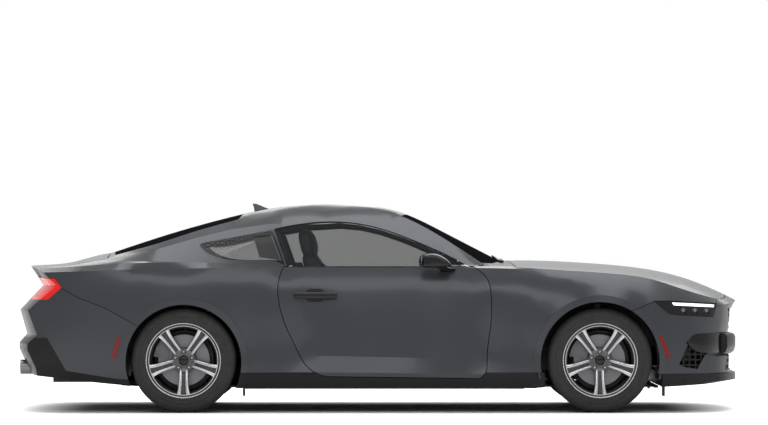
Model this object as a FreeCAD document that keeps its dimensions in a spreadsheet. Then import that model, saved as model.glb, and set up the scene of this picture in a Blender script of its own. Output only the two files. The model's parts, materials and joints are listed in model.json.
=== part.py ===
import FreeCAD, Part
import math
import os
from FreeCAD import Placement, Rotation, Vector

# A two-door fastback coupe at its real size, in millimetres.
# +X points to the nose, +Y to the left side, +Z up, and the origin lies on the ground
# under the middle of the car.

doc = FreeCAD.newDocument("coupe")

# Driving sizes, kept in the sheet
SIZES = (
    ("overall_length", 4811),
    ("overall_width", 1915),
    ("overall_height", 1397),
    ("front_overhang", 950),
    ("wheelbase", 2720),
    ("front_track", 1600),
    ("rear_track", 1650),
    ("panel_thickness", 12),
    ("glass_thickness", 5),
    ("roof_thickness", 30),
    ("shut_gap", 5),
    ("lid_gap", 7),
    ("seam_gap", 3.5),
    ("seat_clearance", 0.6),
    ("flare_height", 6),
    ("flare_width", 44),
    ("door_inner_width", 776),
    ("front_arch_radius", 389),
    ("rear_arch_radius", 378),
    ("front_arch_height", 335),
    ("rear_arch_height", 328),
    ("front_well_width", 485),
    ("rear_well_width", 573),
    ("marker_depth", 4),
    ("tyre_radius", 342),
    ("tyre_width", 235),
    ("tread_width", 188),
    ("shoulder_radius", 294),
    ("rim_radius", 246),
    ("bead_radius", 229),
    ("rim_wall", 13),
    ("rim_lip", 4),
    ("hub_radius", 84),
    ("cap_radius", 30),
    ("cap_front", 68),
    ("hub_front", 77),
    ("groove_floor", 16),
    ("lug_floor", 57),
    ("lug_circle_radius", 57),
    ("lug_pocket_radius", 13.5),
    ("disc_radius", 170),
    ("disc_thickness", 28),
    ("hub_face", 43),
    ("kingpin_offset", 60),
    ("kingpin_reach", 128),
    ("kingpin_side", 36),
    ("spindle_radius", 28),
    ("carrier_radius", 56),
    ("caliper_inner_radius", 102),
    ("caliper_outer_radius", 199),
    ("caliper_wall", 19),
    ("arm_thickness", 12),
    ("arm_half_width", 105),
    ("arm_tip", 20),
    ("front_damper_length", 499),
    ("rear_damper_length", 454),
    ("damper_radius", 36),
    ("half_shaft_radius", 20),
    ("lamp_depth", 60),
    ("lamp_recess", 10),
    ("lamp_module_radius", 20),
    ("engine_length", 641),
    ("engine_width", 504),
    ("engine_height", 498),
    ("engine_bottom", 260),
    ("engine_rear", 1022),
    ("engine_mount_width", 825),
    ("engine_mount_side", 80),
    ("engine_mount_rear", 1283),
    ("engine_mount_bottom", 439),
    ("gearbox_length", 612),
    ("gearbox_width", 302),
    ("gearbox_height", 125),
    ("gearbox_bottom", 225),
    ("gearbox_rear", 421),
    ("driveshaft_radius", 36),
    ("driveshaft_length", 1660),
    ("driveshaft_height", 315),
    ("pipe_radius", 30),
    ("pipe_length", 2606),
    ("tip_radius", 48),
    ("tip_length", 240),
    ("buffer_radius", 12),
    ("steering_ring_radius", 186),
    ("steering_ring_side", 26),
    ("steering_boss_radius", 55),
    ("steering_boss_depth", 50),
    ("steering_spoke_width", 30),
    ("steering_spoke_thickness", 12),
    ("column_radius", 35),
    ("column_length", 160),
    ("fin_width", 32),
    ("handle_reach", 36),
    ("handle_gap", 19),
    ("wiper_height", 14),
    ("wiper_gap", 4),
    ("wiper_pivot_radius", 12),
    ("overrun", 400),
)

sheet = doc.addObject("Spreadsheet::Sheet", "sizes")
for row, (alias, value) in enumerate(SIZES, start=1):
    sheet.set(f"A{row}", alias)
    sheet.set(f"B{row}", str(value))
    sheet.setAlias(f"B{row}", alias)
doc.recompute()


def size(alias):
    """A driving size from the sheet."""
    return float(sheet.get(alias))


# The drafting grid: the tables of places below are shares of these three steps
length_steps_share = 48
width_steps_share = 19
height_steps_share = 14
fit_points_share = 13
spoke_count = 5
step_x = size("overall_length") / length_steps_share
step_y = size("overall_width") / width_steps_share
step_z = size("overall_height") / height_steps_share

panel = size("panel_thickness")
gap = size("shut_gap")
seam = size("seam_gap")
seat = size("seat_clearance")
overrun = size("overrun")
half_length = size("overall_length") / 2
front_axle = half_length - size("front_overhang")
rear_axle = front_axle - size("wheelbase")
axle_height = size("tyre_radius")
side_low = size("front_well_width")
side_high = side_low + 2 * overrun
mid_height = size("overall_height") / 2
high = 2 * size("overall_height")
origin = Vector(0, 0, 0)
AXIS_X, AXIS_Y, AXIS_Z = Vector(1, 0, 0), Vector(0, 1, 0), Vector(0, 0, 1)

# Curves and surfaces


def spline(points, parameters):
    """The smooth curve through points, reached at the given parameters."""
    curve = Part.BSplineCurve()
    curve.interpolate(Points=points, Parameters=parameters)
    return curve


def spline_value(points, place):
    """The value at a place of the smooth curve through (place, value) points."""
    return spline([Vector(p, v, 0) for p, v in points], [p for p, _ in points]).value(place).y


def strip(rails, parameters):
    """The ruled face between two smooth rails."""
    curves = [spline(points, parameters) for points in rails]
    ends = [2, 2]
    surface = Part.BSplineSurface()
    surface.buildFromPolesMultsKnots(
        [curve.getPoles() for curve in curves],
        ends,
        curves[0].getMultiplicities(),
        [0.0, 1.0],
        curves[0].getKnots(),
        False,
        False,
        1,
        3,
    )
    return surface.toShape()


def smoothed(rails, pieces):
    """Rails spaced along the smooth section that a list of guiding rails shapes."""
    sections = []
    for poles in zip(*rails):
        curve = Part.BSplineCurve()
        curve.buildFromPoles(list(poles), False, min(3, len(poles) - 1))
        first, last = curve.FirstParameter, curve.LastParameter
        sections.append([curve.value(first + (last - first) * i / pieces) for i in range(pieces + 1)])
    return [list(rail) for rail in zip(*sections)]


def closed_body(faces, axis):
    """A solid from faces that meet all round, closed by a flat face at each end of an axis."""
    edges = [edge for face in faces for edge in face.Edges]
    places = [getattr(v, axis) for edge in edges for v in edge.Vertexes]
    ends = []
    for place in (min(places), max(places)):
        flat = [
            edge
            for edge in edges
            if all(abs(getattr(p, axis.lower()) - place) < seat for p in edge.discretize(3))
        ]
        ends.append(Part.Face(Part.Wire(Part.sortEdges(flat)[0])))
    shell = Part.Shell(faces + ends)
    shell.sewShape()
    solid = Part.Solid(shell)
    if solid.Volume < 0:
        solid.reverse()
    return solid


# The three planes that outlines are drawn in
PLANES = {
    "side": (lambda a, b: Vector(a * step_x, 0, b * step_z), Vector(0, 1, 0)),
    "plan": (lambda a, b: Vector(a * step_x, b * step_y, 0), Vector(0, 0, 1)),
    "front": (lambda a, b: Vector(0, a * step_y, b * step_z), Vector(1, 0, 0)),
}


def outline(plane, stretches):
    """A closed wire from stretches of places in grid steps, smooth within each stretch.

    Each stretch starts where the one before it ends, and the last closes on the first.
    """
    to_point = PLANES[plane][0]
    last = stretches[-1][-1]
    edges = []
    for stretch in stretches:
        points = [to_point(*place) for place in (last,) + tuple(stretch)]
        if len(points) == 2:
            edges.append(Part.LineSegment(*points).toShape())
        else:
            curve = Part.BSplineCurve()
            curve.interpolate(Points=points)
            edges.append(curve.toShape())
        last = stretch[-1]
    return Part.Wire(edges)


def corners(*places):
    """Straight stretches from corner to corner."""
    return [(place,) for place in places]


def prism(plane, stretches, low, high):
    """The outline extruded square to its plane, from one length to another."""
    direction = PLANES[plane][1]
    face = Part.Face(outline(plane, stretches))
    face.translate(direction * low)
    return face.extrude(direction * (high - low))


def refitted(edge, keep_round):
    """The same edge as a line, an arc where it is to stay round, or a plain spline."""
    if keep_round and edge.Curve.TypeId == "Part::GeomCircle":
        return edge
    if edge.Curve.TypeId in ("Part::GeomLine", "Part::GeomCircle"):
        return Part.LineSegment(edge.Vertexes[0].Point, edge.Vertexes[-1].Point).toShape()
    curve = Part.BSplineCurve()
    curve.interpolate(Points=edge.discretize(fit_points_share))
    return curve.toShape()


def grown(plane, stretches, low, high, margin, keep_round=True):
    """The same prism with its outline moved outwards by a margin."""
    direction = PLANES[plane][1]
    moved = outline(plane, stretches).makeOffset2D(margin, 0, False, False)
    edges = [refitted(edge, keep_round and margin > seam) for edge in moved.OrderedEdges]
    face = Part.Face(Part.Wire(Part.sortEdges(edges)[0]))
    face.translate(direction * low)
    return face.extrude(direction * (high - low))


def box(x_low, x_high, y_low, y_high, z_low, z_high):
    """A box between two corners."""
    corner = Vector(x_low, y_low, z_low)
    return Part.makeBox(x_high - x_low, y_high - y_low, z_high - z_low, corner)


def grid_box(x_low, x_high, y_low, y_high, z_low, z_high):
    """A box between two corners given in grid steps."""
    return box(
        x_low * step_x, x_high * step_x, y_low * step_y, y_high * step_y,
        z_low * step_z, z_high * step_z,
    )


def mirrored(shape):
    """The same shape on the other side of the car."""
    return shape.mirror(Vector(0, 0, 0), Vector(0, 1, 0))


def both_sides(shape):
    """A shape and its mirror image on the other side of the car."""
    return [shape, mirrored(shape)]


# Rails of the lower body: (place along the car, value) in grid steps
FLOOR_EDGE = (
    (
        (-24.6, 6.7), (-21, 8.2), (-17, 8.8), (-12.6, 8.8), (-7, 8.7), (7, 8.7), (14.6, 8.8),
        (19, 8.4), (21.5, 7.5), (24.6, 5.6),
    ),
    ((-24.6, 2.6), (-20, 2.15), (-16.5, 1.8), (-9, 1.6), (9, 1.6), (18, 1.65), (21, 1.8), (24.6, 2.05)),
)
ROCKER = (
    (
        (-24.6, 7.2), (-21, 8.6), (-17, 9.1), (-12.6, 9.2), (-7, 9.1), (0, 9.05), (7, 9.0),
        (14.6, 9.15), (19, 8.7), (21.5, 7.75), (24.6, 5.8),
    ),
    (
        (-24.6, 3.1), (-20, 2.8), (-16.5, 2.7), (-9, 2.68), (0, 2.62), (7, 2.55), (14, 2.5),
        (18, 2.45), (24.6, 2.55),
    ),
)
SCALLOP = (
    (
        (-24.6, 7.4), (-21, 8.75), (-17, 9.25), (-12.6, 9.35), (-9, 9.05), (-5, 8.7), (0, 8.62),
        (5, 8.62), (8, 8.7), (11, 9.0), (14.6, 9.2), (19, 8.75), (21.5, 7.8), (24.6, 5.9),
    ),
    (
        (-24.6, 4.4), (-20, 4.2), (-16.5, 3.9), (-9, 3.75), (0, 3.65), (7, 3.5), (14, 3.6),
        (18, 3.8), (24.6, 4.0),
    ),
)
SIDE_LOW = (
    (
        (-24.6, 7.45), (-21, 8.8), (-17, 9.3), (-12.6, 9.42), (-9, 9.2), (-5, 9.02), (0, 8.95),
        (7, 8.96), (11, 9.12), (14.6, 9.24), (19, 8.8), (21.5, 7.85), (24.6, 6.0),
    ),
    ((-24.6, 5.4), (-12.6, 5.4), (0, 5.4), (14.6, 5.4), (24.6, 5.2)),
)
WAIST = (
    (
        (-24.6, 7.5), (-22, 8.4), (-20, 9.0), (-17, 9.35), (-12.6, 9.5), (-9, 9.35), (-5, 9.2),
        (0, 9.15), (7, 9.12), (11, 9.2), (14.6, 9.25), (18, 8.95), (20, 8.45), (22, 7.6),
        (24.6, 6.1),
    ),
    (
        (-24.6, 6.9), (-21, 7.3), (-17, 7.9), (-12.6, 8.1), (-7, 7.85), (0, 7.75), (7, 7.62),
        (11, 7.5), (14.6, 7.5), (18, 7.0), (24.6, 6.2),
    ),
)
UPPER_SIDE = (
    (
        (-24.6, 7.45), (-22, 8.4), (-20, 8.98), (-17, 9.32), (-12.6, 9.45), (-9, 9.25), (-5, 9.05),
        (0, 8.98), (7, 8.95), (11, 9.0), (14.6, 8.9), (18, 8.5), (20, 7.95), (22, 7.1),
        (24.6, 5.6),
    ),
    (
        (-24.6, 8.2), (-21, 8.3), (-17, 8.8), (-12.6, 8.95), (-7, 8.85), (0, 8.8), (7, 8.75),
        (11, 8.7), (14.6, 8.75), (18, 8.2), (24.6, 6.6),
    ),
)
SHOULDER = (
    (
        (-24.6, 7.2), (-22, 8.15), (-20, 8.75), (-17, 9.1), (-12.6, 9.15), (-9, 8.9), (-6, 8.6),
        (0, 8.5), (6, 8.42), (10, 8.3), (14.6, 8.0), (17, 7.75), (19.4, 7.3), (22, 6.3),
        (24.6, 4.9),
    ),
    (
        (-24.6, 9.2), (-21, 9.2), (-17, 9.35), (-12.6, 9.45), (-9, 9.48), (-6, 9.5), (0, 9.5),
        (6, 9.48), (10, 9.38), (14.6, 9.07), (17, 8.9), (19.4, 8.2), (22, 7.4), (24.6, 6.7),
    ),
)
LEDGE = (
    (
        (-24.6, 6.7), (-22, 7.6), (-20, 8.2), (-17, 8.6), (-12.6, 8.6), (-9, 8.35), (-6, 8.1),
        (0, 8.0), (6, 7.95), (10, 7.8), (14.6, 7.5), (17, 7.2), (19.4, 6.8), (22, 5.8),
        (24.6, 4.4),
    ),
    (
        (-24.6, 9.4), (-21, 9.5), (-17, 9.75), (-12.6, 9.85), (-9, 9.75), (-6, 9.65), (0, 9.65),
        (6, 9.6), (10, 9.5), (14.6, 9.2), (17, 9.0), (19.4, 8.4), (22, 7.55), (24.6, 6.8),
    ),
)
CROWN_OUTER = (
    ((-24.6, 4.4), (0, 5.0), (24.6, 3.2)),
    (
        (-24.6, 9.5), (-21, 9.72), (-19, 10.1), (-17.5, 10.35), (-15, 10.1), (-10, 9.8), (0, 9.7),
        (6, 9.75), (9, 9.85), (14.6, 9.7), (17, 9.5), (19.4, 8.95), (22, 8.1), (24.6, 7.0),
    ),
)
CROWN = (
    ((-24.6, 1.8), (0, 2.0), (24.6, 1.4)),
    (
        (-24.6, 9.52), (-22.8, 9.65), (-20.6, 9.85), (-19.5, 10.05), (-18.2, 10.45), (-17, 10.55),
        (-15, 10.2), (-10, 9.8), (0, 9.7), (6, 9.8), (9, 9.98), (11.2, 9.95), (14.6, 9.76),
        (17.7, 9.45), (19.9, 9.02), (22, 8.3), (24, 7.3), (24.6, 6.95),
    ),
)
body_station_shares = (
    -24.6, -22.4, -20.4, -18.2, -15.6, -12.6, -9.4, -6.2, -2.5, 1.5, 5, 8.2, 11.2, 14.6,
    17.8, 20.6, 22.6, 24.6,
)

# Rails of the greenhouse
GLASS_BASE = (
    (
        (-22, 7.6), (-20, 8.1), (-17, 8.5), (-12, 8.4), (-9, 8.3), (-5, 8.15), (0, 8.1), (6, 8.1),
        (10, 7.6),
    ),
    ((-22, 8), (-20, 8.6), (-17, 9.0), (-12, 9.0), (-5, 9.0), (3, 9.0), (6, 8.8), (8, 8.3), (10, 7.6)),
)
SIDE_GLASS = (
    (
        (-22, 7.2), (-20, 7.6), (-17, 7.9), (-14.4, 7.85), (-12, 7.65), (-9.6, 7.45), (-7.7, 7.42),
        (-2.5, 7.4), (1.5, 7.45), (4.1, 7.6), (6.4, 7.8), (8, 7.6), (10, 7.0),
    ),
    (
        (-22, 8.3), (-20, 8.9), (-17, 9.45), (-14.4, 9.65), (-12, 10.0), (-9.6, 10.3),
        (-7.7, 10.6), (-2.5, 10.85), (1.5, 10.65), (4.1, 10.2), (6.4, 9.4), (8, 8.6), (10, 7.8),
    ),
)
RAIL_OUTER = (
    (
        (-22, 6.8), (-20, 7.1), (-17, 7.05), (-14.4, 6.75), (-12, 6.5), (-9.6, 6.35), (-7.7, 6.35),
        (-2.5, 6.4), (1.5, 6.6), (4.1, 6.95), (6.4, 7.4), (8, 7.2), (10, 6.6),
    ),
    (
        (-22, 8.5), (-20, 9.2), (-17, 9.85), (-14.4, 10.4), (-12, 11.1), (-9.6, 11.7),
        (-7.7, 12.15), (-2.5, 12.75), (1.5, 12.3), (4.1, 11.05), (6.4, 9.65), (8, 8.7), (10, 7.8),
    ),
)
RAIL_INNER = (
    (
        (-22, 6.2), (-20, 6.4), (-17, 6.3), (-14.4, 6.0), (-12, 5.8), (-9.6, 5.6), (-7.7, 5.55),
        (-2.5, 5.55), (1.5, 5.9), (4.1, 6.4), (6.4, 6.85), (8, 6.8), (10, 6.2),
    ),
    (
        (-22, 8.7), (-20, 9.5), (-17, 10.35), (-14.4, 11.1), (-12, 11.9), (-9.6, 12.5),
        (-7.7, 12.95), (-2.5, 13.5), (1.5, 13.0), (4.1, 11.75), (6.4, 10.2), (8, 9.1), (10, 8.0),
    ),
)
ROOF = (
    ((-22, 3), (10, 3)),
    (
        (-22, 8.9), (-20.8, 9.35), (-19, 10.08), (-17, 10.8), (-14.4, 11.66), (-11.7, 12.45),
        (-9.6, 13.0), (-7.7, 13.42), (-5.1, 13.7), (-2.5, 13.78), (0.2, 13.55), (1.5, 13.25),
        (4.1, 12.08), (6.4, 10.9), (8, 10.08), (10, 9.0),
    ),
)
cabin_station_shares = (
    -22, -20, -18.2, -16.4, -14.4, -12, -9.6, -7.2, -4.8, -2.5, -0.4, 1.5, 3, 4.6, 6.4, 8, 10,
)


def rail_points(rail, stations, side=1, inset=0):
    """A rail's points at the stations, moved in from the side and down by an inset."""
    widths, heights = rail
    return [
        Vector(
            x * step_x,
            side * (spline_value(widths, x) * step_y - inset),
            spline_value(heights, x) * step_z - inset,
        )
        for x in stations
    ]


def lengths(stations):
    """Places along the car in lengths, from grid steps."""
    return [x * step_x for x in stations]


def ring_body(rails, places):
    """The solid inside a ring of rails."""
    pairs = zip(rails, rails[1:] + rails[:1])
    return closed_body([strip(pair, places) for pair in pairs], "X")


def lower_body(inset=0):
    """The closed form of the body below the belt line."""
    stations = body_station_shares
    chains = []
    for side in (-1, 1):
        names = (FLOOR_EDGE, ROCKER, SCALLOP, SIDE_LOW, WAIST, UPPER_SIDE, SHOULDER, LEDGE)
        rails = [rail_points(rail, stations, side, inset) for rail in names]
        low, high = smoothed(rails[2:5], 2), smoothed(rails[4:7], 3)
        chains.append(rails[:2] + low + high[1:] + rails[7:])
    right = [rail_points(rail, stations, -1, inset) for rail in (LEDGE, CROWN_OUTER, CROWN)]
    left = [rail_points(rail, stations, 1, inset) for rail in (CROWN, CROWN_OUTER, LEDGE)]
    crown = smoothed(right + left, 6)
    return ring_body(chains[0] + crown[1:-1] + chains[1][::-1], lengths(stations))


def cabin(inset=0):
    """The closed form of the cabin above the belt line."""
    stations = cabin_station_shares
    rails = (GLASS_BASE, SIDE_GLASS, RAIL_OUTER, RAIL_INNER, ROOF)
    right = [rail_points(rail, stations, -1, inset) for rail in rails]
    left = [rail_points(rail, stations, 1, inset) for rail in reversed(rails)]
    return ring_body(smoothed(right + left, 12), lengths(stations))


# The nose and the tail: a profile in the side view, bowed along a curve in the plan view
nose_profile_shares = (
    (24, 12), (23.98, 7.27), (23.77, 6.9), (23.7, 5.9), (23.47, 5.2), (23.55, 3.8), (23.7, 3.65),
    (23.68, 2.56), (24, 2.5), (24, 2.05), (23.2, 1.9), (22.4, 0.5),
)
nose_bow_shares = (
    (-11, -7.5), (-8.4, -3.0), (-7.8, -2.15), (-7.2, -1.6), (-6.5, -1.15), (-5.5, -0.7), (-4, -0.28),
    (-2, -0.06), (0, 0), (2, -0.06), (4, -0.28), (5.5, -0.7), (6.5, -1.15), (7.2, -1.6),
    (7.8, -2.15), (8.4, -3.0), (11, -7.5),
)
tail_profile_shares = (
    (-23.23, 15), (-23.23, 9.58), (-22.39, 8.32), (-23.68, 6.98), (-23.95, 6.69), (-23.5, 5.07),
    (-24, 4.5), (-24, 4.1), (-23.2, 2.33), (-22, 0.5),
)
tail_bow_shares = (
    (-11, 6), (-9.3, 2.3), (-8.7, 1.5), (-8, 1.05), (-7, 0.75), (-5, 0.38), (-3, 0.15), (0, 0),
    (3, 0.15), (5, 0.38), (7, 0.75), (8, 1.05), (8.7, 1.5), (9.3, 2.3), (11, 6),
)


def length_block(inset=0):
    """The space between the nose surface and the tail surface."""
    rails = []
    for profile, bow, inwards in (
        (nose_profile_shares, nose_bow_shares, -1),
        (tail_profile_shares[::-1], tail_bow_shares, 1),
    ):
        parameters = [y * step_y for y, _ in bow]
        for x, z in profile:
            points = [
                Vector((x + dx) * step_x + inwards * inset, y * step_y, z * step_z) for y, dx in bow
            ]
            rails.append(spline(points, parameters).toShape())
    faces = [Part.makeRuledSurface(a, b) for a, b in zip(rails, rails[1:] + rails[:1])]
    return closed_body(faces, "Y")


def whole_form(inset=0, roof_inset=None):
    """The outer form of the whole car, or the same form moved inwards."""
    roof_inset = inset if roof_inset is None else roof_inset
    return lower_body(inset).fuse(cabin(roof_inset)).common(length_block(inset))


# Outlines of the panels, in grid steps
DOOR = (
    (
        (-6.45, 8.17), (-6.37, 7.18), (-5.88, 5.55), (-5.27, 4.27), (-4.67, 3.17), (-3.87, 2.57),
        (-3.27, 2.4),
    ),
    ((6.68, 2.26),),
    ((7.05, 2.68), (7.14, 3.57), (7.4, 6.07), (7.4, 7.59), (7.14, 8.76), (6.65, 9.28), (6.2, 9.55)),
    ((-6.07, 9.55),),
)
DOOR_GLASS = (
    (
        (4.78, 10.19), (2.81, 11.08), (1.5, 11.61), (0.18, 12.05), (-1.14, 12.35), (-2.52, 12.49),
        (-4.96, 12.36), (-6.72, 12.02),
    ),
    ((-5.83, 9.55),),
    ((5.9, 9.55),),
)
QUARTER_GLASS = (
    ((-9.04, 11.58), (-11.48, 11.12)),
    ((-11.71, 11.0),),
    ((-10.89, 10.32), (-10.2, 10.1), (-6.05, 9.65)),
    ((-6.92, 11.98),),
)
WINDSHIELD = (
    ((7.8, -4.2), (8.2, 0), (7.8, 4.2), (6.8, 6.7)),
    ((4.1, 6.1), (1.6, 5.3)),
    ((1.95, 2.7), (2.05, 0), (1.95, -2.7), (1.6, -5.3)),
    ((4.1, -6.1), (6.8, -6.7)),
)
REAR_WINDOW = (
    ((-17.5, -2), (-17.5, 2), (-17.3, 5.5)),
    ((-13.4, 5.25), (-9.2, 4.7)),
    ((-8.95, 2.3), (-8.9, 0), (-8.95, -2.3), (-9.2, -4.7)),
    ((-13.4, -5.25), (-17.3, -5.5)),
)
HOOD = (
    ((8.85, -4), (8.7, 0), (8.85, 4), (9.1, 7.95)),
    ((12, 7.85), (14.8, 7.65), (16.8, 7.5), (18.1, 7.35), (19.4, 7.1), (21, 6.5), (22.4, 5.6)),
    ((23.0, 4), (23.2, 2), (23.24, 0), (23.2, -2), (23.0, -4), (22.4, -5.6)),
    ((21, -6.5), (19.4, -7.1), (18.1, -7.35), (16.8, -7.5), (14.8, -7.65), (12, -7.85), (9.1, -7.95)),
)
TRUNK_LID_PLAN = corners(
    (-17.8, 5.9), (-22, 6.9), (-26, 6.9), (-26, -6.9), (-22, -6.9), (-17.8, -5.9)
)
TRUNK_LID_REAR = corners(
    (6.9, 12), (6.9, 8.95), (4.3, 8.95), (4.1, 7.1), (-4.1, 7.1), (-4.3, 8.95), (-6.9, 8.95), (-6.9, 12)
)
HEADLAMP = corners(
    (18.04, 7.3), (19.1, 7.3), (22.3, 7.12), (22.05, 6.24), (19.5, 6.38), (19.08, 6.43), (18.56, 6.82)
)
TAILLAMP = corners((-26, 8.89), (-21.08, 8.77), (-20.6, 8.18), (-21.52, 7.4), (-26, 7.42))
FENDER = corners(
    (5.9, 9.6), (5.9, 9.2), (7.0, 2.64), (16, 2.64), (16, 6.4), (16.6, 6.7), (18.04, 7.3), (22.3, 7.12),
    (22.6, 9.6),
)
QUARTER = corners(
    (-5.6, 9.56), (-3.2, 2.64), (-12.6, 2.64), (-12.6, 5), (-15.6, 5.7), (-17.7, 6.87),
    (-19.42, 7.53), (-20.5, 8.12), (-26, 8.12), (-26, 10.6), (-17.6, 10.2), (-14.4, 10.75),
    (-12, 11.45), (-9.6, 12.05), (-7, 12.4), (-6.3, 12.42),
)
SKIRT = corners((-9.6, 1.2), (-9.6, 2.6), (10.4, 2.6), (10.4, 1.2))
VALANCE = corners((-26, 4.9), (-21.55, 4.9), (-20.3, 2.74), (-16.86, 2.2), (-14, 2.1), (-14, 1), (-26, 1))
UPPER_GRILLE = corners((-5.2, 6.8), (5.2, 6.8), (4.6, 5.75), (3.4, 5.5), (-3.4, 5.5), (-4.6, 5.75))
LOWER_GRILLE = corners((-5.0, 3.75), (5.0, 3.75), (5.6, 2.7), (-5.6, 2.7))

# Outlines and boxes of the pieces, in grid steps
firewall_share = 8.35
bulkhead_share = -11.35
floor_low_share = 1.55
floor_top_share = 1.7
door_top_share = 9.55
tower_share = 4.75
rail_bottom_share = 4.2
rear_wall_share = 5.65
rear_floor_share = 4.1
splitter_top_share = 2.55
FLOOR_SHARES = (
    (-17, 18.5, -6.4, 6.4, floor_low_share, floor_top_share),
    (-8.7, 8.5, -7.6, 7.6, floor_low_share, floor_top_share),
    (firewall_share, 8.55, -7.2, 7.2, floor_low_share, 8.9),
    (-11.5, bulkhead_share, -6.9, 6.9, floor_low_share, 9.0),
    (21.2, 21.35, -8.6, 8.6, 4.95, 6.05),
    (21.2, 21.35, -6.4, 6.4, 2.6, 5.0),
    (-22.2, -22.05, -8.6, 8.6, 3.5, 6.9),
    (-22.2, bulkhead_share, -rear_wall_share, rear_wall_share, rear_floor_share, 4.25),
    (-17.2, -17, -rear_wall_share, rear_wall_share, floor_low_share, 4.25),
)
FLOOR_SIDE_SHARES = (
    (-8.7, 9.6, 6.2, 7.64, floor_low_share, 3.3),
    (-8.7, 9.6, 7.5, 9.5, floor_low_share, 2.1),
    (7.5, 9.5, 6.4, 9.5, floor_low_share, 9.0),
    (-8.75, -5.5, 6.6, 9.5, floor_low_share, 9.3),
    (8.4, 21.3, 4.1, 4.65, rail_bottom_share, 5.4),
    (8.4, 19.5, 4.6, tower_share, rail_bottom_share, 8.4),
    (-22.2, bulkhead_share, 5.0, 5.6, rear_floor_share, 4.8),
    (-20.9, bulkhead_share, 5.5, rear_wall_share, rear_floor_share, 8.4),
    (-17.2, -17, 5.5, 9.5, 2.6, 6.0),
)
TUNNEL_SHARES = (-11.4, 8.5, -1.9, 1.9, floor_low_share, 3.75)
TUNNEL_ROOM_SHARES = (-17.5, 9, -1.75, 1.75, 1, 3.56)
HOOD_BAY_SHARES = (8.8, 26, -9, 9, 7, 12)
BUFFER_SHARES = ((9.2, 7.2, 6.8), (19.2, 4.68, 6.5), (-19.5, 5.575, 7.4))
buffer_reach_share = 4
STRIKER_SHARES = (-7.2, -5.6, 7.75, 7.95, 5.65, 5.75)
LATCH_SHARES = (-6.6, -5.5, 7.5, 8.0, 5.65, 5.75)
LINER_SHARES = (-24, 24, -10, 10, 2.2, 14)
DASH_SHARES = ((5.6, 7.494, -7.6, 7.6, 6.3, 9.0), (7, 8.344, -6.39, 6.39, 6.3, 9.0))
CONSOLE_SHARES = (-3, 6.4, -1.2, 1.2, 3.7, 6.4)
SEAT_SIDE = corners(
    (2.0, 3.4), (2.0, 4.75), (-2.4, 4.6), (-4.6, 10.3), (-5.5, 10.3), (-4.1, 5.2), (-3.7, 3.4),
)
HEADREST_SIDE = corners((-4.8, 10.2), (-5.0, 11.1), (-5.3, 11.35), (-5.65, 11.2), (-5.5, 10.2))
SEAT_BASE_SHARES = (-2.6, 1.4, 2.45, 5.85, 1.6, 3.5)
SEAT_REACH_SHARES = (1.96, 6.34)
HEADREST_REACH_SHARES = (2.9, 5.4)
BENCH_SIDE = corners(
    (-6.1, 1.6), (-6.1, 4.8), (-8.3, 4.6), (-10.3, 8.8), (-11.2, 8.8), (-11.3, 4.0), (-11.3, 1.6),
)
BENCH_REACH_SHARES = (-5.65, 5.65)
FIN = [((-8.4, 13.7), (-8.2, 13.95), (-7.85, 14))] + corners(
    (-7.6, 13.95), (-7.0, 13.6), (-7.0, 13.0), (-8.4, 13.0),
)
MIRROR_PLAN = corners((2.9, 9.4), (2.9, 10.45), (3.6, 10.4), (4.4, 10.1), (4.65, 9.7), (4.6, 9.4))
MIRROR_FRONT = corners(
    (9.3, 9.62), (9.5, 9.5), (10.2, 9.55), (10.5, 9.8), (10.42, 10.15), (10.2, 10.32),
    (9.6, 10.35), (9.3, 10.2),
)
MIRROR_ARM_SHARES = (4.0, 5.2, 8.2, 9.7, 9.55, 9.8)
HANDLE_SHARES = (-5.45, -2.6, 8, 10.5, 7.45, 7.85)
HANDLE_FEET_SHARES = ((-5.45, -5.0, 8, 10.5, 7.45, 7.85), (-3.05, -2.6, 8, 10.5, 7.45, 7.85))
LAMP_ZONE_SHARES = (-26, 26, -11, 11, 5, 9.2)
LAMP_INNER_SHARES = (15, 26, 0, 5.0, 5, 9)
TAIL_INNER_SHARES = (-26, -15, 0, 4.45, 5, 9.3)
COWL_ROOM_SHARES = (5, 9.35, 0, 7.42, 9, 12)
COWL_ZONE_SHARES = (6.99, 9.3, -7.42, 7.42, 9, 11)
ROOF_ZONE_SHARES = (-18, 6.95, -8.5, 8.5, 9.66, 15)
BUMPER_ZONE_SHARES = (15.9, 26, -11, 11, splitter_top_share, 8)
REAR_BUMPER_ZONE_SHARES = (-26, -15, -11, 11, 2, 8.3)
SPLITTER_SHARES = (18.6, 26, -11, 11, 1, splitter_top_share)
UPPER_BAR_SHARES = [(22, 24.5, y - 0.08, y + 0.08, 5.3, 6.95) for y in (-4, -3, -2, -1, 0, 1, 2, 3, 4)] + [
    (22, 24.5, -5.6, 5.6, z - 0.06, z + 0.06) for z in (5.3, 5.7, 6.1, 6.5, 6.9)
]
LOWER_BAR_SHARES = [(22, 24.5, y - 0.08, y + 0.08, 2.62, 3.9) for y in (-4.5, -3, -1.5, 0, 1.5, 3, 4.5)] + [
    (22, 24.5, -5.8, 5.8, z - 0.06, z + 0.06) for z in (2.7, 3.1, 3.5, 3.9)
]
INTAKE_BAR_SHARES = [(19, 23, 4.8, 9.5, z - 0.05, z + 0.05) for z in (3.1, 3.45, 3.8, 4.15, 4.5)] + [
    (x - 0.05, x + 0.05, 4.8, 9.5, 2.7, 4.9) for x in (20.0, 20.4, 20.8, 21.2, 21.6, 22.0)
]
SIDE_INTAKE = corners((20.41, 4.75), (19.72, 3.18), (19.9, 3.0), (20.94, 2.84), (21.46, 3.79), (22.24, 4.14))
LIGHT_BAR = corners((19.2, 7.24), (22.15, 7.06), (22.1, 6.86), (19.32, 7.0))
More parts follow.
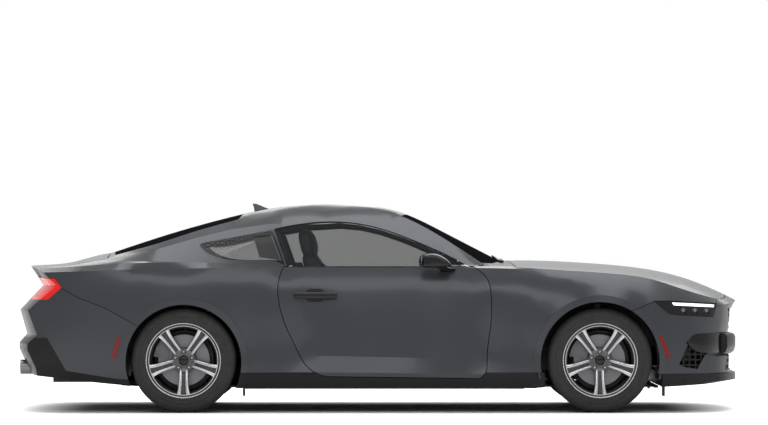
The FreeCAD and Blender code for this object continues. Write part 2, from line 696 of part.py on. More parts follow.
LAMP_MODULE_SHARES = ((19.98, 6.66), (20.77, 6.64), (21.55, 6.62))
TAIL_GROOVE_SHARES = ((5.3, 5.5), (6.15, 6.35), (7.0, 7.2))
TAIL_GROOVE_REACH_SHARES = (-26, -20.9, 7.55, 8.7)
FRONT_MARKER = corners((18.34, 5.0), (18.6, 5.0), (19.16, 3.58), (18.9, 3.58))
REAR_MARKER = corners((-16.96, 4.91), (-16.7, 4.91), (-17.03, 3.56), (-17.29, 3.56))
FLAP_SHARES = (-8.76, -8.62, 8.0, 8.95, 1.1, 2.2)
FRONT_FLAP_SHARES = (18.7, 18.82, 6.4, 7.9, 1.05, 2.0)
WIPER_PLAN = (
    corners((8.4, 0.9), (8.3, 1.4), (7.25, 6.0), (6.95, 6.0), (7.95, 1.3), (8.2, 0.8)),
    corners((8.35, -4.3), (8.4, -3.9), (7.95, 0.4), (7.7, 0.4), (8.1, -3.9), (8.1, -4.3)),
)
WIPER_PIVOT_SHARES = ((8.3, 1.0), (8.25, -4.2))

# The rim: rings of (radius, front, back), then the corners of a spoke and of its groove
DISH_SHARES = ((0.24, 0.64, 0.4), (0.92, 0.96, 0.66))
SPOKE_SHARES = (
    (-0.17, 0.22), (0.17, 0.22), (0.15, 0.5), (0.16, 0.72), (0.21, 0.95), (-0.21, 0.95),
    (-0.16, 0.72), (-0.15, 0.5),
)
GROOVE_SHARES = ((-0.035, 0.36), (0.035, 0.36), (0.05, 0.7), (0.07, 0.88), (-0.07, 0.88), (-0.05, 0.7))
CALIPER_SECTOR_SHARES = ((0, 0), (-1.2, 0.15), (-1.2, 1.1))
CALIPER_BRACKET_SHARES = ((-0.15, 0.1), (-0.5, 0.12), (-0.5, 0.45), (0, 0.15))

# Suspension, exhaust and steering, in grid steps
cross_front_share = -12.3
CROSS_SHARES = (14.0, 15.1, -4.6, 4.6, 1.9, 2.6)
CROSS_POST_SHARES = (14.0, 15.1, 4.1, 4.6, 2.5, rail_bottom_share)
REAR_CROSS_SHARES = (-13.6, cross_front_share, -4.8, 4.8, 2.4, rear_floor_share)
ARM_PIVOT_SHARES = (4.5, 4.6)
DAMPER_SHARES = (5.8, 6.3)
rear_arm_low_share = 2.4
muffler_front_share = -17.2
MUFFLER_SHARES = (-21.4, muffler_front_share, 0.7, 5.6, 1.9, 3.6)
HANGER_SHARES = (-20, -19.6, 2.8, 3.2, 3.5, rear_floor_share)
TIP_SHARES = (-23.6, 5.0, 2.9)
PIPE_SHARES = (muffler_front_share, 1.1, 1.82)
STEERING_PLACE_SHARES = (4.3, 3.7, 8.0)
steering_tilt = 20
steering_spoke_angles = (0, 180, 270)

# Forms that the panels are cut from
outer = whole_form()
inner = whole_form(panel, size("roof_thickness"))
carried = whole_form(panel + seat, size("roof_thickness") + seat)
backed = whole_form(panel + panel, size("roof_thickness") + panel)
deep = lower_body(size("lamp_depth")).common(length_block(size("lamp_depth")))
recessed = lower_body(size("lamp_recess")).common(length_block(size("lamp_recess")))
glazing = cabin().cut(cabin(size("glass_thickness")))
flared = lower_body(-size("flare_height")).common(length_block(-size("flare_height")))
lamp_shell = outer.common(grid_box(*LAMP_ZONE_SHARES)).cut(deep)


def wheel_cylinder(end, radius, start, length=side_high):
    """A cylinder outwards from a place along Y, round the arch centre of a left wheel."""
    axle = front_axle if end == "front" else rear_axle
    return Part.makeCylinder(radius, length, Vector(axle, start, size(f"{end}_arch_height")), AXIS_Y)


def raised_lips():
    """The raised bands around the four wheel openings."""
    bands = []
    for end in ("front", "rear"):
        radius = size(f"{end}_arch_radius")
        reach = wheel_cylinder(end, radius + size("flare_width"), side_low)
        bands += both_sides(flared.common(reach).cut(outer))
    return bands


front_arch = wheel_cylinder("front", size("front_arch_radius"), side_low)
rear_arch = wheel_cylinder("rear", size("rear_arch_radius"), side_low)
shell = outer.cut(inner)
flared_shell = shell.fuse(raised_lips())


def side_prism(stretches, margin=0):
    """A left side cutter from an outline in the side view."""
    if margin:
        return grown("side", stretches, side_low, side_high, margin)
    return prism("side", stretches, side_low, side_high)


def plan_prism(stretches, margin=0):
    """A cutter from an outline in the plan view, for what lies above mid height."""
    if margin:
        return grown("plan", stretches, mid_height, high, margin)
    return prism("plan", stretches, mid_height, high)


def trunk_region(margin=0):
    """The space of the trunk lid, or that space grown by a margin."""
    low = -half_length - overrun
    if margin:
        plan = grown("plan", TRUNK_LID_PLAN, 0, high, margin, False)
        return plan.common(grown("front", TRUNK_LID_REAR, low, 0, margin, False))
    return prism("plan", TRUNK_LID_PLAN, 0, high).common(prism("front", TRUNK_LID_REAR, low, 0))


def cut_each(shape, *cutters):
    """The shape less one cutter after another."""
    for cutter in cutters:
        shape = shape.cut(cutter)
    return shape


def cut_both(shape, *cutters):
    """The shape less each left cutter and its mirror image."""
    for cutter in cutters:
        shape = cut_each(shape, *both_sides(cutter))
    return shape


door_cut = side_prism(DOOR, gap)
door_glass_cut = side_prism(DOOR_GLASS, gap)
quarter_glass_cut = side_prism(QUARTER_GLASS, seat)
lamp_cut = side_prism(HEADLAMP, seam)
tail_lamp_cut = side_prism(TAILLAMP, seam)
hood_cut = plan_prism(HOOD, gap)
windshield_cut = plan_prism(WINDSHIELD, seat)
rear_window_cut = plan_prism(REAR_WINDOW, seat)
trunk_cut = trunk_region(size("lid_gap"))
left_side = box(-high - high, high + high, 0, side_high, -overrun, high)
shapes = {}


def add(name, shape):
    """Keep the shape of a piece under its name."""
    shapes[name] = shape


def add_pair(name, shape):
    """Keep a left piece and its mirror image."""
    add(name + "_left", shape)
    add(name + "_right", mirrored(shape))


def add_both(name, shape):
    """Keep a left piece and its mirror image as one."""
    add(name, Part.Compound(both_sides(shape)))


# Outer panels
def build_sides():
    """Front fenders, rear quarter panels and their windows."""
    fender = flared_shell.common(side_prism(FENDER)).common(left_side)
    cowl_room = grid_box(*COWL_ROOM_SHARES).translated(AXIS_Y * seat)
    add_pair("fender", cut_each(fender, cowl_room, hood_cut, door_cut, lamp_cut, front_arch))
    quarter = cut_each(flared_shell.common(side_prism(QUARTER)), trunk_cut, rear_window_cut, door_cut)
    quarter = cut_each(quarter, tail_lamp_cut, rear_arch, quarter_glass_cut, door_glass_cut)
    add_pair("quarter_panel", quarter)
    add_both("quarter_windows", glazing.common(side_prism(QUARTER_GLASS)))


def build_doors():
    """Doors as thick as the whole door, with a notch for the latch, and their glass."""
    frame = grown("side", DOOR, size("door_inner_width"), side_high, -panel)
    latch = grid_box(*LATCH_SHARES)
    latch = latch.fuse([latch.translated(AXIS_Z * step) for step in (seat, -seat)])
    add_pair("door", shell.common(side_prism(DOOR)).fuse(outer.common(frame)).cut(latch))
    belt = box(-high, high, 0, side_high, 0, door_top_share * step_z + seat)
    add_pair("door_glass", glazing.common(side_prism(DOOR_GLASS)).cut(belt))


def build_top():
    """Hood, trunk lid, roof, windshield, rear window and cowl."""
    add("hood", shell.common(plan_prism(HOOD)))
    add("trunk_lid", shell.common(trunk_region()))
    add("windshield", glazing.common(plan_prism(WINDSHIELD)))
    add("rear_window", glazing.common(plan_prism(REAR_WINDOW)))
    roof = cut_each(shell.common(grid_box(*ROOF_ZONE_SHARES)), windshield_cut, rear_window_cut)
    roof = cut_both(roof, door_glass_cut, quarter_glass_cut, side_prism(QUARTER, seat), door_cut)
    add("roof_panel", roof.cut(trunk_cut))
    add("cowl", cut_each(shell.common(grid_box(*COWL_ZONE_SHARES)), hood_cut, windshield_cut))
    fin = prism("side", FIN, -size("fin_width") / 2, size("fin_width") / 2)
    add("antenna_fin", fin.cut(cabin(-seat)))


def build_wipers():
    """Two wiper arms parked along the foot of the windshield, each on its pivot."""
    above = whole_form(-size("wiper_height"))
    near = whole_form(-size("wiper_gap"))
    seated = whole_form(-seat)
    wipers = []
    for plan, (x, y) in zip(WIPER_PLAN, WIPER_PIVOT_SHARES):
        place = Vector(x * step_x, y * step_y, mid_height)
        pivot = Part.makeCylinder(size("wiper_pivot_radius"), high, place)
        arm = prism("plan", plan, mid_height, high).common(above).cut(near)
        wipers.append(arm.fuse(pivot.common(above).cut(seated)).removeSplitter())
    add("wipers", Part.Compound(wipers))


def marker(stretches):
    """A side marker lens, and the pocket that it lies in."""
    deep_end = lower_body(size("marker_depth"))
    pocket = side_prism(stretches, seat).cut(deep_end)
    lens = side_prism(stretches).common(lower_body(-size("flare_height")))
    return lens.cut(lower_body(size("marker_depth") - seat)), pocket


def crossing_bars(space, bar_shares):
    """Crossing bars in a thin space behind a panel."""
    bars = [grid_box(*shares) for shares in bar_shares]
    return bars[0].fuse(bars[1:]).common(space)


def build_nose():
    """Front bumper with its openings and grilles, side markers, headlamps and splitter."""
    bumper = flared_shell.common(grid_box(*BUMPER_ZONE_SHARES).translated(AXIS_Z * seat)).cut(hood_cut)
    bumper = cut_both(bumper, side_prism(FENDER, seam), side_prism(HEADLAMP, seat), front_arch)
    for stretches in (UPPER_GRILLE, LOWER_GRILLE):
        bumper = bumper.cut(prism("front", stretches, half_length / 2, half_length + overrun))
    front_lens, front_pocket = marker(FRONT_MARKER)
    rear_lens, rear_pocket = marker(REAR_MARKER)
    add("front_bumper", cut_both(bumper, side_prism(SIDE_INTAKE), front_pocket))
    add("side_markers", Part.Compound(both_sides(front_lens) + both_sides(rear_lens)))
    space = carried.cut(backed)
    corner = space.common(side_prism(SIDE_INTAKE, panel))
    meshes = both_sides(crossing_bars(corner, INTAKE_BAR_SHARES))
    meshes += [crossing_bars(space, shares) for shares in (UPPER_BAR_SHARES, LOWER_BAR_SHARES)]
    add("grille", Part.Compound(meshes))
    lamp = lamp_shell.common(side_prism(HEADLAMP)).cut(grid_box(*LAMP_INNER_SHARES))
    recesses = [side_prism(LIGHT_BAR)]
    for x, z in LAMP_MODULE_SHARES:
        place = Vector(x * step_x, side_low, z * step_z)
        recesses.append(Part.makeCylinder(size("lamp_module_radius"), side_high, place, AXIS_Y))
    add_both("headlamps", cut_each(lamp, *[recess.cut(recessed) for recess in recesses]))
    splitter = cut_both(outer.common(grid_box(*SPLITTER_SHARES)), front_arch)
    add("front_splitter", splitter.fuse(both_sides(grid_box(*FRONT_FLAP_SHARES))).removeSplitter())
    return rear_pocket


def build_tail(marker_pocket):
    """Rear bumper, diffuser with the exhaust openings, tail lamps and sills."""
    bumper = flared_shell.common(grid_box(*REAR_BUMPER_ZONE_SHARES)).cut(trunk_cut)
    bumper = cut_both(bumper, side_prism(QUARTER, seam), side_prism(TAILLAMP, seat), rear_arch, marker_pocket)
    add("rear_bumper", bumper.cut(grown("side", VALANCE, -side_high, side_high, seat)))
    diffuser = cut_both(flared_shell.common(prism("side", VALANCE, -side_high, side_high)), rear_arch)
    x, y, z = TIP_SHARES
    place = Vector(-half_length - overrun, y * step_y, z * step_z)
    outlet = Part.makeCylinder(size("tip_radius") + gap, overrun + overrun, place, AXIS_X)
    add("rear_diffuser", cut_both(diffuser, outlet))
    lamp = lamp_shell.common(side_prism(TAILLAMP)).cut(grid_box(*TAIL_INNER_SHARES))
    x_low, x_high, z_low, z_high = TAIL_GROOVE_REACH_SHARES
    grooves = [grid_box(x_low, x_high, *reach, z_low, z_high).cut(recessed) for reach in TAIL_GROOVE_SHARES]
    add_both("taillamps", cut_each(lamp, *grooves))
    skirt = cut_each(flared_shell.common(side_prism(SKIRT)), door_cut, front_arch, rear_arch)
    add_both("side_skirts", skirt.fuse(grid_box(*FLAP_SHARES).cut(carried)).removeSplitter())


# Wheels, made about their own centre with the outer side at +Y and moved to their places
half_tyre = size("tyre_width") / 2
half_rim = half_tyre - size("rim_lip")
rim_radius = size("rim_radius")
disc_half = size("disc_thickness") / 2
kingpin_half = size("kingpin_side") / 2


def revolved(profile, axis=AXIS_Y):
    """A solid turned about the Y axis from (radius, place along Y) corners."""
    points = [Vector(r, y, 0) for r, y in profile]
    return Part.Face(Part.makePolygon(points + points[:1])).revolve(origin, axis, 360)


def washer(inner_radius, outer_radius, low, high_side):
    """A ring, or a round plate where its inner radius is zero, from one place along Y to another."""
    return revolved([
        (inner_radius, high_side), (outer_radius, high_side), (outer_radius, low), (inner_radius, low),
    ])


def wheel_prism(shares, low, high_side):
    """An outline in the wheel's own plane, as shares of its radius, made deep along Y."""
    points = [Vector(a * rim_radius, low, b * rim_radius) for a, b in shares]
    return Part.Face(Part.makePolygon(points + points[:1])).extrude(AXIS_Y * (high_side - low))


def turned(shape, angle):
    """The shape turned about the wheel's axis."""
    return shape.rotated(origin, AXIS_Y, angle)


def rim():
    """A rim with five grooved spokes, a hub with five bolt pockets and a bare cap."""
    fit = size("bead_radius") - seat / 2
    wall = size("bead_radius") - size("rim_wall")
    lip = half_tyre + seat
    barrel = revolved([
        (fit, lip), (rim_radius, lip), (rim_radius, lip + size("rim_lip")),
        (wall, lip + size("rim_lip")),
        (wall, -half_rim), (fit, -half_rim),
    ])
    face = [(radius * rim_radius, front * half_rim) for radius, front, _ in DISH_SHARES]
    back = [(radius * rim_radius, rear * half_rim) for radius, _, rear in reversed(DISH_SHARES)]
    dish = revolved(face + back)
    groove = wheel_prism(GROOVE_SHARES, 0, half_tyre).common(dish.translated(AXIS_Y * size("groove_floor")))
    spoke = dish.common(wheel_prism(SPOKE_SHARES, 0, half_tyre)).cut(groove)
    step = 360 / spoke_count
    hub = washer(0, size("hub_radius"), size("hub_face"), size("hub_front"))
    recess = washer(0, size("cap_radius"), size("cap_front"), half_tyre)
    whole = barrel.fuse([turned(spoke, 180 + i * step) for i in range(spoke_count)] + [hub]).cut(recess)
    place = Vector(0, size("lug_floor"), size("lug_circle_radius"))
    pocket = Part.makeCylinder(size("lug_pocket_radius"), half_tyre, place, AXIS_Y)
    return cut_each(whole, *[turned(pocket, i * step) for i in range(spoke_count)]).removeSplitter()


def disc():
    """A brake disc with the hat that seats on the back of the hub."""
    top = size("hub_face") - seat
    bore = size("spindle_radius") + seat
    return revolved([
        (size("disc_radius"), disc_half), (size("hub_radius"), disc_half), (size("hub_radius"), top),
        (bore, top), (bore, -disc_half), (size("disc_radius"), -disc_half),
    ])


def upright():
    """A hub carrier: the spindle, the post on the steering axis and the brake caliper."""
    offset = size("kingpin_offset")
    spindle = washer(0, size("spindle_radius"), -offset, size("hub_face") - seat)
    reach = size("kingpin_reach")
    post = box(-kingpin_half, kingpin_half, -offset - kingpin_half, -offset + kingpin_half, -reach, reach)
    carrier = washer(0, size("carrier_radius"), -offset - gap, -disc_half - gap - gap)
    half = disc_half + gap + size("caliper_wall")
    pads = washer(size("caliper_inner_radius"), size("caliper_outer_radius"), -half, half)
    slot = washer(0, size("disc_radius") + gap, -disc_half - gap, disc_half + gap)
    caliper = pads.cut(slot).common(wheel_prism(CALIPER_SECTOR_SHARES, -half_tyre, half_tyre))
    bracket = wheel_prism(CALIPER_BRACKET_SHARES, -half, -disc_half - gap)
    return carrier.fuse([spindle, post, caliper, bracket]).removeSplitter()


WHEELS = (("front", front_axle, size("front_track") / 2), ("rear", rear_axle, size("rear_track") / 2))


def build_wheels():
    """Rims with their brake discs, and the steered hub carriers."""
    wheel = Part.Compound([rim(), disc()])
    for end, x, y in WHEELS:
        centre = Vector(x, y, axle_height)
        add_pair(f"rim_{end}", wheel.translated(centre))
        if end == "front":
            add_pair("knuckle_front", upright().translated(centre))


# Structure under the panels
def sided(shares):
    """A grid box on the left and its mirror image."""
    return both_sides(grid_box(*shares))


def well_cylinder(end, clearance, start):
    """The space of a wheel well, or of its liner, inside a clearance."""
    return wheel_cylinder(end, size(f"{end}_arch_radius") + clearance, size(f"{end}_well_width") + start)


def build_structure():
    """Floor, sills, pillars, firewall, rails and rear panel, in three pieces."""
    plates = [grid_box(*shares) for shares in FLOOR_SHARES]
    for shares in FLOOR_SIDE_SHARES:
        plates += sided(shares)
    tunnel = grid_box(*TUNNEL_SHARES)
    whole = plates[0].fuse(plates[1:] + [tunnel]).common(carried).cut(grid_box(*TUNNEL_ROOM_SHARES))
    wells = [well_cylinder(end, panel + panel, 0) for end in ("front", "rear")]
    whole = cut_both(whole, *wells, door_cut)
    whole = cut_each(whole, hood_cut.common(grid_box(*HOOD_BAY_SHARES)), trunk_cut)
    stops = []
    for x, y, z in BUFFER_SHARES:
        place = Vector(x * step_x, y * step_y, z * step_z)
        stop = Part.makeCylinder(size("buffer_radius"), buffer_reach_share * step_z, place)
        stops += both_sides(stop.common(carried))
    whole = whole.fuse(sided(STRIKER_SHARES) + stops).removeSplitter()
    front = firewall_share * step_x
    rear = bulkhead_share * step_x
    zones = {
        "front_structure": (front, half_length),
        "floor_pan": (rear, front),
        "rear_structure": (-half_length, rear),
    }
    for name, (x_low, x_high) in zones.items():
        add(name, whole.common(box(x_low, x_high, -side_high, side_high, 0, high)))
    liners = []
    for end in ("front", "rear"):
        outside = well_cylinder(end, panel + panel - seat, seat)
        inside = well_cylinder(end, panel, -overrun)
        liner = outside.cut(inside).common(carried).common(grid_box(*LINER_SHARES))
        liners += both_sides(liner)
    add("wheel_liners", Part.Compound(liners))
    return tunnel


def side_slab(stretches, shares):
    """An outline in the side view, made wide from one place along Y to another."""
    low, high_side = shares
    return prism("side", stretches, low * step_y, high_side * step_y)


def build_interior(tunnel):
    """Dashboard with the console and steering column, seats and rear bench."""
    floor_top = box(-half_length, half_length, -side_high, side_high, 0, floor_top_share * step_z + seat)
    console = grid_box(*CONSOLE_SHARES).cut(tunnel.translated(AXIS_Z * seat))
    base = AXIS_X * column_start
    column = steered(Part.makeCylinder(size("column_radius"), size("column_length"), base, AXIS_X))
    dash = [grid_box(*shares) for shares in DASH_SHARES]
    add("dashboard", console.fuse(dash + [column]).removeSplitter())
    place = side_slab(SEAT_SIDE, SEAT_REACH_SHARES)
    headrest = side_slab(HEADREST_SIDE, HEADREST_REACH_SHARES)
    chair = place.fuse([headrest, grid_box(*SEAT_BASE_SHARES).cut(floor_top)])
    bench = side_slab(BENCH_SIDE, BENCH_REACH_SHARES).cut(tunnel).cut(floor_top)
    add("seats", Part.Compound(both_sides(chair.removeSplitter()) + [bench]))


# Steering wheel, on a column out of the dashboard
spoke_half = size("steering_spoke_thickness") / 2
column_start = size("steering_boss_depth") - spoke_half + seat


def steered(shape):
    """The shape moved from the origin to the steering wheel's place and tilt."""
    place = [share * step for share, step in zip(STEERING_PLACE_SHARES, (step_x, step_y, step_z))]
    return shape.rotated(origin, AXIS_Y, steering_tilt).translated(Vector(*place))


def build_steering_wheel():
    """A ring, a boss and three spokes."""
    half = size("steering_ring_side") / 2
    radius = size("steering_ring_radius")
    square = ((-half, -half), (half, -half), (half, half), (-half, half))
    section = [Vector(a, radius + b, 0) for a, b in square]
    ring = Part.Face(Part.makePolygon(section + section[:1])).revolve(origin, AXIS_X, 360)
    start = AXIS_X * -spoke_half
    boss = Part.makeCylinder(size("steering_boss_radius"), size("steering_boss_depth"), start, AXIS_X)
    half_width = size("steering_spoke_width") / 2
    spoke = box(-spoke_half, spoke_half, 0, radius, -half_width, half_width)
    spokes = [spoke.rotated(origin, AXIS_X, angle) for angle in steering_spoke_angles]
    add("steering_wheel", steered(ring.fuse([boss] + spokes).removeSplitter()))


# Exhaust and suspension
def build_exhaust():
    """Two pipes, each with its muffler, hanger and tail pipe."""
    x, y, z = PIPE_SHARES
    pipe_place = Vector(x * step_x, y * step_y, z * step_z)
    pipe = Part.makeCylinder(size("pipe_radius"), size("pipe_length"), pipe_place, AXIS_X)
    x, y, z = TIP_SHARES
    tip_place = Vector(x * step_x, y * step_y, z * step_z)
    tip = Part.makeCylinder(size("tip_radius"), size("tip_length"), tip_place, AXIS_X)
    hanger = grid_box(*HANGER_SHARES).translated(AXIS_Z * -seat)
    add_both("exhaust", pipe.fuse([grid_box(*MUFFLER_SHARES), tip, hanger]).removeSplitter())


def arm(x, y_low, y_high, z_low):
    """A flat control arm that narrows towards the wheel."""
    wide, narrow = size("arm_half_width"), size("arm_tip")
    places = [
        Vector(x - wide, y_low, z_low), Vector(x + wide, y_low, z_low),
        Vector(x + narrow, y_high + narrow, z_low), Vector(x - narrow, y_high + narrow, z_low),
    ]
    return Part.Face(Part.makePolygon(places + places[:1])).extrude(AXIS_Z * arm_thickness)


arm_thickness = size("arm_thickness")
post_low = axle_height - size("kingpin_reach")
post_high = axle_height + size("kingpin_reach")


def damper(x, share, z, length):
    """A damper standing on a lower arm."""
    return Part.makeCylinder(size("damper_radius"), length, Vector(x, share * step_y, z))


def build_suspension():
    """Arms, dampers and cross members; the rear ones carry their hub carriers."""
    front_y, rear_y = (y - size("kingpin_offset") for _, _, y in WHEELS)
    front_pivot, rear_pivot = (share * step_y for share in ARM_PIVOT_SHARES)
    front_damper, rear_damper = DAMPER_SHARES
    low = post_low - seat - arm_thickness
    pieces = sided(CROSS_POST_SHARES) + [grid_box(*CROSS_SHARES)]
    pieces = [piece.translated(AXIS_Z * -seat) for piece in pieces]
    for piece in (
        arm(front_axle, front_pivot, front_y, low),
        arm(front_axle, tower_share * step_y + seat, front_y, post_high + seat),
        damper(front_axle, front_damper, low + arm_thickness / 2, size("front_damper_length")),
    ):
        pieces += both_sides(piece)
    add("front_suspension", pieces[0].fuse(pieces[1:]).removeSplitter())
    low = rear_arm_low_share * step_z
    shaft = Part.makeCylinder(size("half_shaft_radius"), rear_y, Vector(rear_axle, 0, axle_height), AXIS_Y)
    pieces = [grid_box(*REAR_CROSS_SHARES).translated(AXIS_Z * -seat)]
    for piece in (
        arm(rear_axle, rear_pivot, rear_y, low - arm_thickness / 2),
        arm(rear_axle, rear_wall_share * step_y + seat, rear_y, post_high - arm_thickness / 2),
        damper(rear_axle, rear_damper, low, size("rear_damper_length")),
        shaft,
        upright().translated(Vector(rear_axle, size("rear_track") / 2, axle_height)),
    ):
        pieces += both_sides(piece)
    add("rear_suspension", pieces[0].fuse(pieces[1:]).removeSplitter())


# Mirrors and door handles
def build_fittings():
    """Mirrors on the door tops, and bar handles with a finger gap behind them."""
    reach = prism("plan", MIRROR_PLAN, mid_height, high).common(prism("front", MIRROR_FRONT, 0, half_length))
    stalk = grid_box(*MIRROR_ARM_SHARES).translated(AXIS_Z * seat)
    add_pair("mirror", reach.fuse(stalk).removeSplitter())
    full = lower_body(-size("handle_reach"))
    bar = grid_box(*HANDLE_SHARES).common(full).cut(lower_body(-size("handle_gap")))
    feet = [grid_box(*shares).common(full).cut(lower_body(-seat)) for shares in HANDLE_FEET_SHARES]
    add_pair("door_handle", bar.fuse(feet).removeSplitter())


build_sides()
build_doors()
build_top()
build_wipers()
build_tail(build_nose())
build_wheels()
build_interior(build_structure())
build_steering_wheel()
build_exhaust()
build_suspension()
build_fittings()


# Pieces of the document
def bound(kind, name, **values):
    """A Part primitive whose sizes follow the sheet."""
    piece = doc.addObject(f"Part::{kind}", name)
    for prop, formula in values.items():
        piece.setExpression(prop, formula)
    return piece


def joined(name, pieces):
    """One piece fused from several."""
    whole = doc.addObject("Part::MultiFuse", name)
    whole.Shapes = pieces
    return whole


def at(piece, base, rotation=Rotation()):
    """The piece moved to a place."""
    piece.Placement = Placement(base, rotation)
    return piece


def add_tyre(name, centre):
    """A tyre: tread, two shoulders that narrow to the side walls, and the bore for the rim."""
    width = "sizes.tyre_width"
    tread = bound("Cylinder", name + "_tread", Radius="sizes.tyre_radius", Height="sizes.tread_width")
    chamfer = "(sizes.tyre_width - sizes.tread_width) / 2"
    cones = [
        bound("Cone", f"{name}_shoulder_{i}", Radius1=low, Radius2=high_end, Height=chamfer)
        for i, (low, high_end) in enumerate((
            ("sizes.shoulder_radius", "sizes.tyre_radius"),
            ("sizes.tyre_radius", "sizes.shoulder_radius"),
        ))
    ]
    edge = (size("tyre_width") - size("tread_width")) / 2
    at(tread, AXIS_Z * edge)
    at(cones[1], AXIS_Z * (edge + size("tread_width")))
    bore = bound("Cylinder", name + "_bore", Radius="sizes.bead_radius", Height=width)
    tyre = doc.addObject("Part::Cut", name)
    tyre.Base = joined(name + "_body", [tread] + cones)
    tyre.Tool = bore
    at(tyre, centre + AXIS_Y * -half_tyre, Rotation(AXIS_Z, AXIS_Y))


def add_engine():
    """Engine with its mount beam, gearbox and driveshaft, as plain blocks."""
    engine = at(
        bound("Box", "engine_bulk", Length="sizes.engine_length", Width="sizes.engine_width",
              Height="sizes.engine_height"),
        Vector(size("engine_rear"), -size("engine_width") / 2, size("engine_bottom")),
    )
    beam = at(
        bound("Box", "engine_beam", Length="sizes.engine_mount_side", Width="sizes.engine_mount_width",
              Height="sizes.engine_mount_side"),
        Vector(size("engine_mount_rear"), -size("engine_mount_width") / 2, size("engine_mount_bottom")),
    )
    gearbox = at(
        bound("Box", "gearbox", Length="sizes.gearbox_length", Width="sizes.gearbox_width",
              Height="sizes.gearbox_height"),
        Vector(size("gearbox_rear"), -size("gearbox_width") / 2, size("gearbox_bottom")),
    )
    shaft = at(
        bound("Cylinder", "driveshaft", Radius="sizes.driveshaft_radius", Height="sizes.driveshaft_length"),
        Vector(cross_front_share * step_x + seat, 0, size("driveshaft_height")),
        Rotation(AXIS_Z, AXIS_X),
    )
    joined("engine_block", [engine, beam, gearbox, shaft])


for end, x, y in WHEELS:
    add_tyre(f"tyre_{end}_left", Vector(x, y, axle_height))
    add_tyre(f"tyre_{end}_right", Vector(x, -y, axle_height))
add_engine()
for name, shape in shapes.items():
    piece = doc.addObject("Part::Feature", name)
    piece.Shape = shape
    piece.Placement = shape.Placement
doc.recompute()

SUB_PARTS = sorted(shapes) + ["engine_block"] + [
    f"tyre_{end}_{side}" for end in ("front", "rear") for side in ("left", "right")
]
for piece in doc.Objects:
    if "Invalid" in piece.State or "Error" in piece.State:
        raise RuntimeError(piece.Name)
for name in SUB_PARTS:
    piece = doc.getObject(name)
    piece.Label = name
    if piece.Shape.isNull() or not piece.Shape.isValid() or not piece.Shape.Solids:
        raise RuntimeError(name)

os.makedirs("parts", exist_ok=True)
for name in SUB_PARTS:
    doc.getObject(name).Shape.exportStep(f"parts/{name}.step")
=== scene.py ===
"""Looks of the coupe: finishes, lamps, trim, tyres and cabin fittings around the solid model.

Lengths are in metres in the model's frame: +X to the nose, +Y to the left side, +Z up.
A pair of places is (x, z) in the side view unless a comment says otherwise.
"""

import json
import math

import bmesh
import bpy
from mathutils import Matrix, Vector
from mathutils.bvhtree import BVHTree

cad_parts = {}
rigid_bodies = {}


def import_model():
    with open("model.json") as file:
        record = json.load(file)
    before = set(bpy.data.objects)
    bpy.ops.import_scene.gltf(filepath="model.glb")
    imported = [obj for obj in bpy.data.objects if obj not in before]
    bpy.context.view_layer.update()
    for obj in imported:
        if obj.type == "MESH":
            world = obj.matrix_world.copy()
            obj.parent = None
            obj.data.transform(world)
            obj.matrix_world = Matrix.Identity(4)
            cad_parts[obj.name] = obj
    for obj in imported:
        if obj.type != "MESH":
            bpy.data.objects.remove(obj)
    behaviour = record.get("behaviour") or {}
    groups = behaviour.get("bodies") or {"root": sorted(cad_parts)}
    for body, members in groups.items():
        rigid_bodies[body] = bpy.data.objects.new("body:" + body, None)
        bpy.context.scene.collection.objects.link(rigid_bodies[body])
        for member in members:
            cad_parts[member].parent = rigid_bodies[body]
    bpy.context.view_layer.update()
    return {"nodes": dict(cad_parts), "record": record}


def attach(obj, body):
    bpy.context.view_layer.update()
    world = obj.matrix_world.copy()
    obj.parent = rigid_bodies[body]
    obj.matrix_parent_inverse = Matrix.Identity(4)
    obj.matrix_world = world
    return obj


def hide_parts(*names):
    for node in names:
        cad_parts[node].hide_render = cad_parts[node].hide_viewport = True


for spare in list(bpy.data.objects):
    bpy.data.objects.remove(spare)
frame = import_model()
nodes = frame["nodes"]

# Camera and photograph
photo_width, photo_height = 768, 425
camera_distance = 26.4
camera_height = 1.03
camera_along = 0.044
focal_pixels = 3904.8
horizon_row = 255.1
sensor_width = 36
view_depth = 200

# The drafting grid that the source of the solids uses
step_x, step_y, step_z = 4.811 / 48, 1.915 / 19, 1.397 / 14

# Wheel centres as (x, y)
WHEELS = {
    "front_left": (1.4555, 0.8), "front_right": (1.4555, -0.8),
    "rear_left": (-1.2645, 0.825), "rear_right": (-1.2645, -0.825),
}
axle_height = 0.342
SIDES = (("left", 1), ("right", -1))

# Materials
grain_depth = 0.001
grain_detail, wear_detail = 2.0, 4.0


def shader_of(made):
    """The shader node of a material."""
    return made.node_tree.nodes["Principled BSDF"]


def noise_of(tree, scale, detail):
    """A noise in the object's own frame."""
    place = tree.nodes.new("ShaderNodeTexCoord")
    noise = tree.nodes.new("ShaderNodeTexNoise")
    noise.inputs["Scale"].default_value = scale
    noise.inputs["Detail"].default_value = detail
    tree.links.new(place.outputs["Object"], noise.inputs["Vector"])
    return noise.outputs["Fac"]


def mapped(tree, value, **ends):
    """A value brought from one range to another, the ends given as From_Min and so on."""
    made = tree.nodes.new("ShaderNodeMapRange")
    for socket, end in ends.items():
        made.inputs[socket.replace("_", " ")].default_value = end
    tree.links.new(value, made.inputs["Value"])
    return made.outputs["Result"]


def vary_color(made, color, value, spread):
    """Let a material's base colour go darker and lighter by a spread, led by a value."""
    tree = made.node_tree
    factor = mapped(tree, value, To_Min=1 - spread, To_Max=1 + spread)
    shade = tree.nodes.new("ShaderNodeVectorMath")
    shade.operation = "SCALE"
    shade.inputs[0].default_value = color
    tree.links.new(factor, shade.inputs["Scale"])
    tree.links.new(shade.outputs["Vector"], shader_of(made).inputs["Base Color"])


